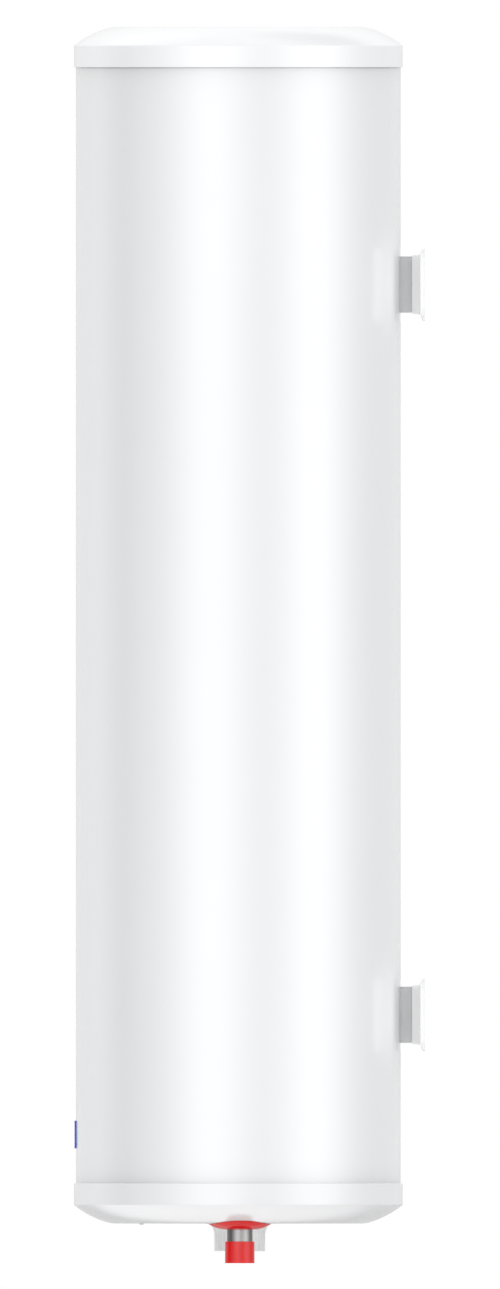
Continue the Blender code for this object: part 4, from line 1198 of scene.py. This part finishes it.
def finished_pieces():
    """Everything that the photograph's side, the back and the underside show."""
    jacket()
    top_cover()
    bottom_cover()
    badge()
    cover_screws()
    for side in ("upper", "lower"):
        wall_cup(side)
        arm(side)
        bracket_bolts(side)
    pipe_stub("hot_stub", "hot_outlet_pipe", HOT_PIPE_TOP, HOT_DIP_TUBE)
    pipe_stub("cold_stub", "cold_inlet_pipe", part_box("cold_inlet_pipe")[1].z)
    # The hot rosette takes the darker copy of the red: painted shade
    rosette("hot_dish", "hot_rosette", "hot_outlet_pipe", "red_dish_shaded", "red_plastic")
    rosette("cold_dish", "cold_rosette", "cold_inlet_pipe", "blue_plastic", "blue_plastic")
    pipe_cap("hot_thread_cap", "hot_pipe_cap", "hot_cap", "red_plastic")
    pipe_cap("cold_thread_cap", "cold_pipe_cap", "cold_cap", "blue_plastic")
    knob()
    dial_scale()
    lens()
    cable_gland()


def finish_carried_nodes():
    """Gives every CAD node that is still shown the procedural finish of its slot."""
    slot_of = {part["node"]: part["material_slot"] for part in frame["record"]["subparts"]}
    for name, obj in frame["nodes"].items():
        if not obj.hide_render:
            obj.data.materials.clear()
            obj.data.materials.append(LOOKS[slot_of[name]])


finished_pieces()
finish_carried_nodes()


# Studio


def gaussian(tree, value, centre, width, amount):
    """amount * exp(-((value - centre) / width)^2), as nodes."""
    away = maths(tree, "DIVIDE", maths(tree, "SUBTRACT", value, centre), width)
    square = maths(tree, "MULTIPLY", away, away)
    fall = maths(tree, "EXPONENT", maths(tree, "MULTIPLY", square, -1.0))
    return maths(tree, "MULTIPLY", fall, amount)


def lights_round(tree, azimuth, height):
    """The tall soft lights, which fade towards straight up and down."""
    strips = 0.0
    for centre, width, amount in STRIPS:
        strip = gaussian(tree, azimuth, math.radians(centre), math.radians(width), amount)
        strips = maths(tree, "ADD", strips, strip)
    level = maths(tree, "SUBTRACT", 1.0, maths(tree, "MULTIPLY", height, height))
    return maths(tree, "MULTIPLY", strips, level)


def pale_patch_below(tree, depth, height):
    """The pale floor, with a soft edge, brighter straight below."""
    leaning = maths(tree, "ADD", maths(tree, "MULTIPLY", depth, FLOOR_LEAN), height)
    downward = maths(tree, "MULTIPLY", leaning, -1.0)
    edge = tree.nodes.new("ShaderNodeMapRange")
    edge.interpolation_type = "SMOOTHSTEP"
    edge.inputs["From Min"].default_value = FLOOR_EDGE[0]
    edge.inputs["From Max"].default_value = FLOOR_EDGE[1]
    tree.links.new(downward, edge.inputs["Value"])
    rising = maths(tree, "MULTIPLY", downward, FLOOR_RISE)
    level = maths(tree, "SUBTRACT", rising, FLOOR_DROP)
    return maths(tree, "MULTIPLY", edge.outputs["Result"], level)


def room_overhead(tree, place, height):
    """An even room, brighter upwards, with the panels overhead."""
    room = maths(tree, "ADD", maths(tree, "MULTIPLY", height, GLOSS_SLOPE), GLOSS_BASE)
    for panel, size, amount in PANELS:
        facing = tree.nodes.new("ShaderNodeVectorMath")
        facing.operation = "DOT_PRODUCT"
        tree.links.new(place, facing.inputs[0])
        facing.inputs[1].default_value = Vector(panel).normalized()
        spot = gaussian(tree, facing.outputs["Value"], 1.0, size, amount)
        room = maths(tree, "ADD", room, spot)
    return room


def studio_world():
    """White to the camera, an even soft light, and for gloss lights round, above and below."""
    world = bpy.data.worlds.new("studio")
    world.use_nodes = True
    world.cycles.sampling_method = "NONE"
    bpy.context.scene.world = world
    tree = world.node_tree
    nodes, link = tree.nodes, tree.links.new
    nodes.clear()

    direction = nodes.new("ShaderNodeSeparateXYZ")
    place = nodes.new("ShaderNodeTexCoord").outputs["Generated"]
    link(place, direction.inputs["Vector"])
    x, y, z = (direction.outputs[axis] for axis in "XYZ")
    azimuth = maths(tree, "ARCTAN2", y, x)
    sides = maths(tree, "ADD", lights_round(tree, azimuth, z), pale_patch_below(tree, y, z))
    everything = maths(tree, "ADD", sides, room_overhead(tree, place, z))
    gloss = maths(tree, "MAXIMUM", everything, 0.0)
    soft = maths(tree, "ADD", maths(tree, "MULTIPLY", z, SOFT_SLOPE), SOFT_LEVEL)

    rays = nodes.new("ShaderNodeLightPath")
    pick = nodes.new("ShaderNodeMix")
    link(rays.outputs["Is Glossy Ray"], pick.inputs["Factor"])
    link(soft, pick.inputs["A"])
    link(gloss, pick.inputs["B"])
    seen = nodes.new("ShaderNodeMix")
    link(rays.outputs["Is Camera Ray"], seen.inputs["Factor"])
    link(pick.outputs["Result"], seen.inputs["A"])
    seen.inputs["B"].default_value = 1.0
    background = nodes.new("ShaderNodeBackground")
    background.inputs["Color"].default_value = (1, 1, 1, 1)
    link(seen.outputs["Result"], background.inputs["Strength"])
    link(background.outputs["Background"], nodes.new("ShaderNodeOutputWorld").inputs["Surface"])


def studio_floor():
    """A dull pale disc that throws soft light up; neither camera nor gloss sees it."""
    bm = bmesh.new()
    bmesh.ops.create_circle(bm, cap_ends=True, segments=SMALL_STEPS, radius=FLOOR_RADIUS)
    floor = link_mesh("studio_floor", bm)
    floor.location = (0, 0, CAD_BOX[0].z - FLOOR_BELOW)
    look = Look("floor_look")
    speck = look.spread(look.noise(6.0, 3.0), 0.0, 1.0)
    look.colour(look.blend(speck, *FLOOR_GREYS))
    look.set(Roughness=0.9, Specular_IOR_Level=0.1)
    floor.data.materials.append(look.material)
    floor.visible_glossy = False
    floor.visible_camera = False


def bracket_cards():
    """Lit cards before the wall cups, brighter outwards, which the camera doesn't see."""
    look = Look("card_look")
    look.set(Base_Color=(0, 0, 0, 1), Specular_IOR_Level=0.0, Emission_Color=(1, 1, 1, 1))
    outward = maths(look.tree, "ABSOLUTE", look.along("X"))
    strength = look.spread(outward, *CARD_LEVELS, *CARD_BRIGHTENS)
    look.link(strength, look.shader.inputs["Emission Strength"])
    for side in ("upper", "lower"):
        low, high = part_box(f"{side}_wall_plate")
        depth = low.y - CARD_GAP
        bm = bmesh.new()
        for start, end in (CARD_REACH, (-CARD_REACH[1], -CARD_REACH[0])):
            corners = ((start, low.z), (end, low.z), (end, high.z), (start, high.z))
            bm.faces.new([bm.verts.new((x, depth, z)) for x, z in corners])
        card = link_mesh(f"{side}_card", bm)
        card.data.materials.append(look.material)
        card.visible_camera = False
        card.visible_transmission = False
        card.visible_shadow = False


def camera():
    """Level with the heater's middle, square on to its hot side, with no perspective."""
    data = bpy.data.cameras.new("camera")
    data.type = "ORTHO"
    data.ortho_scale = VIEW_HEIGHT
    obj = bpy.data.objects.new("camera", data)
    bpy.context.scene.collection.objects.link(obj)
    obj.location = (CAMERA_DISTANCE, VIEW_CENTRE_Y, VIEW_CENTRE_Z)
    obj.rotation_euler = (math.radians(90), 0, math.radians(90))
    bpy.context.scene.camera = obj


studio_world()
studio_floor()
bracket_cards()
camera()
bpy.context.scene.view_settings.view_transform = "Standard"
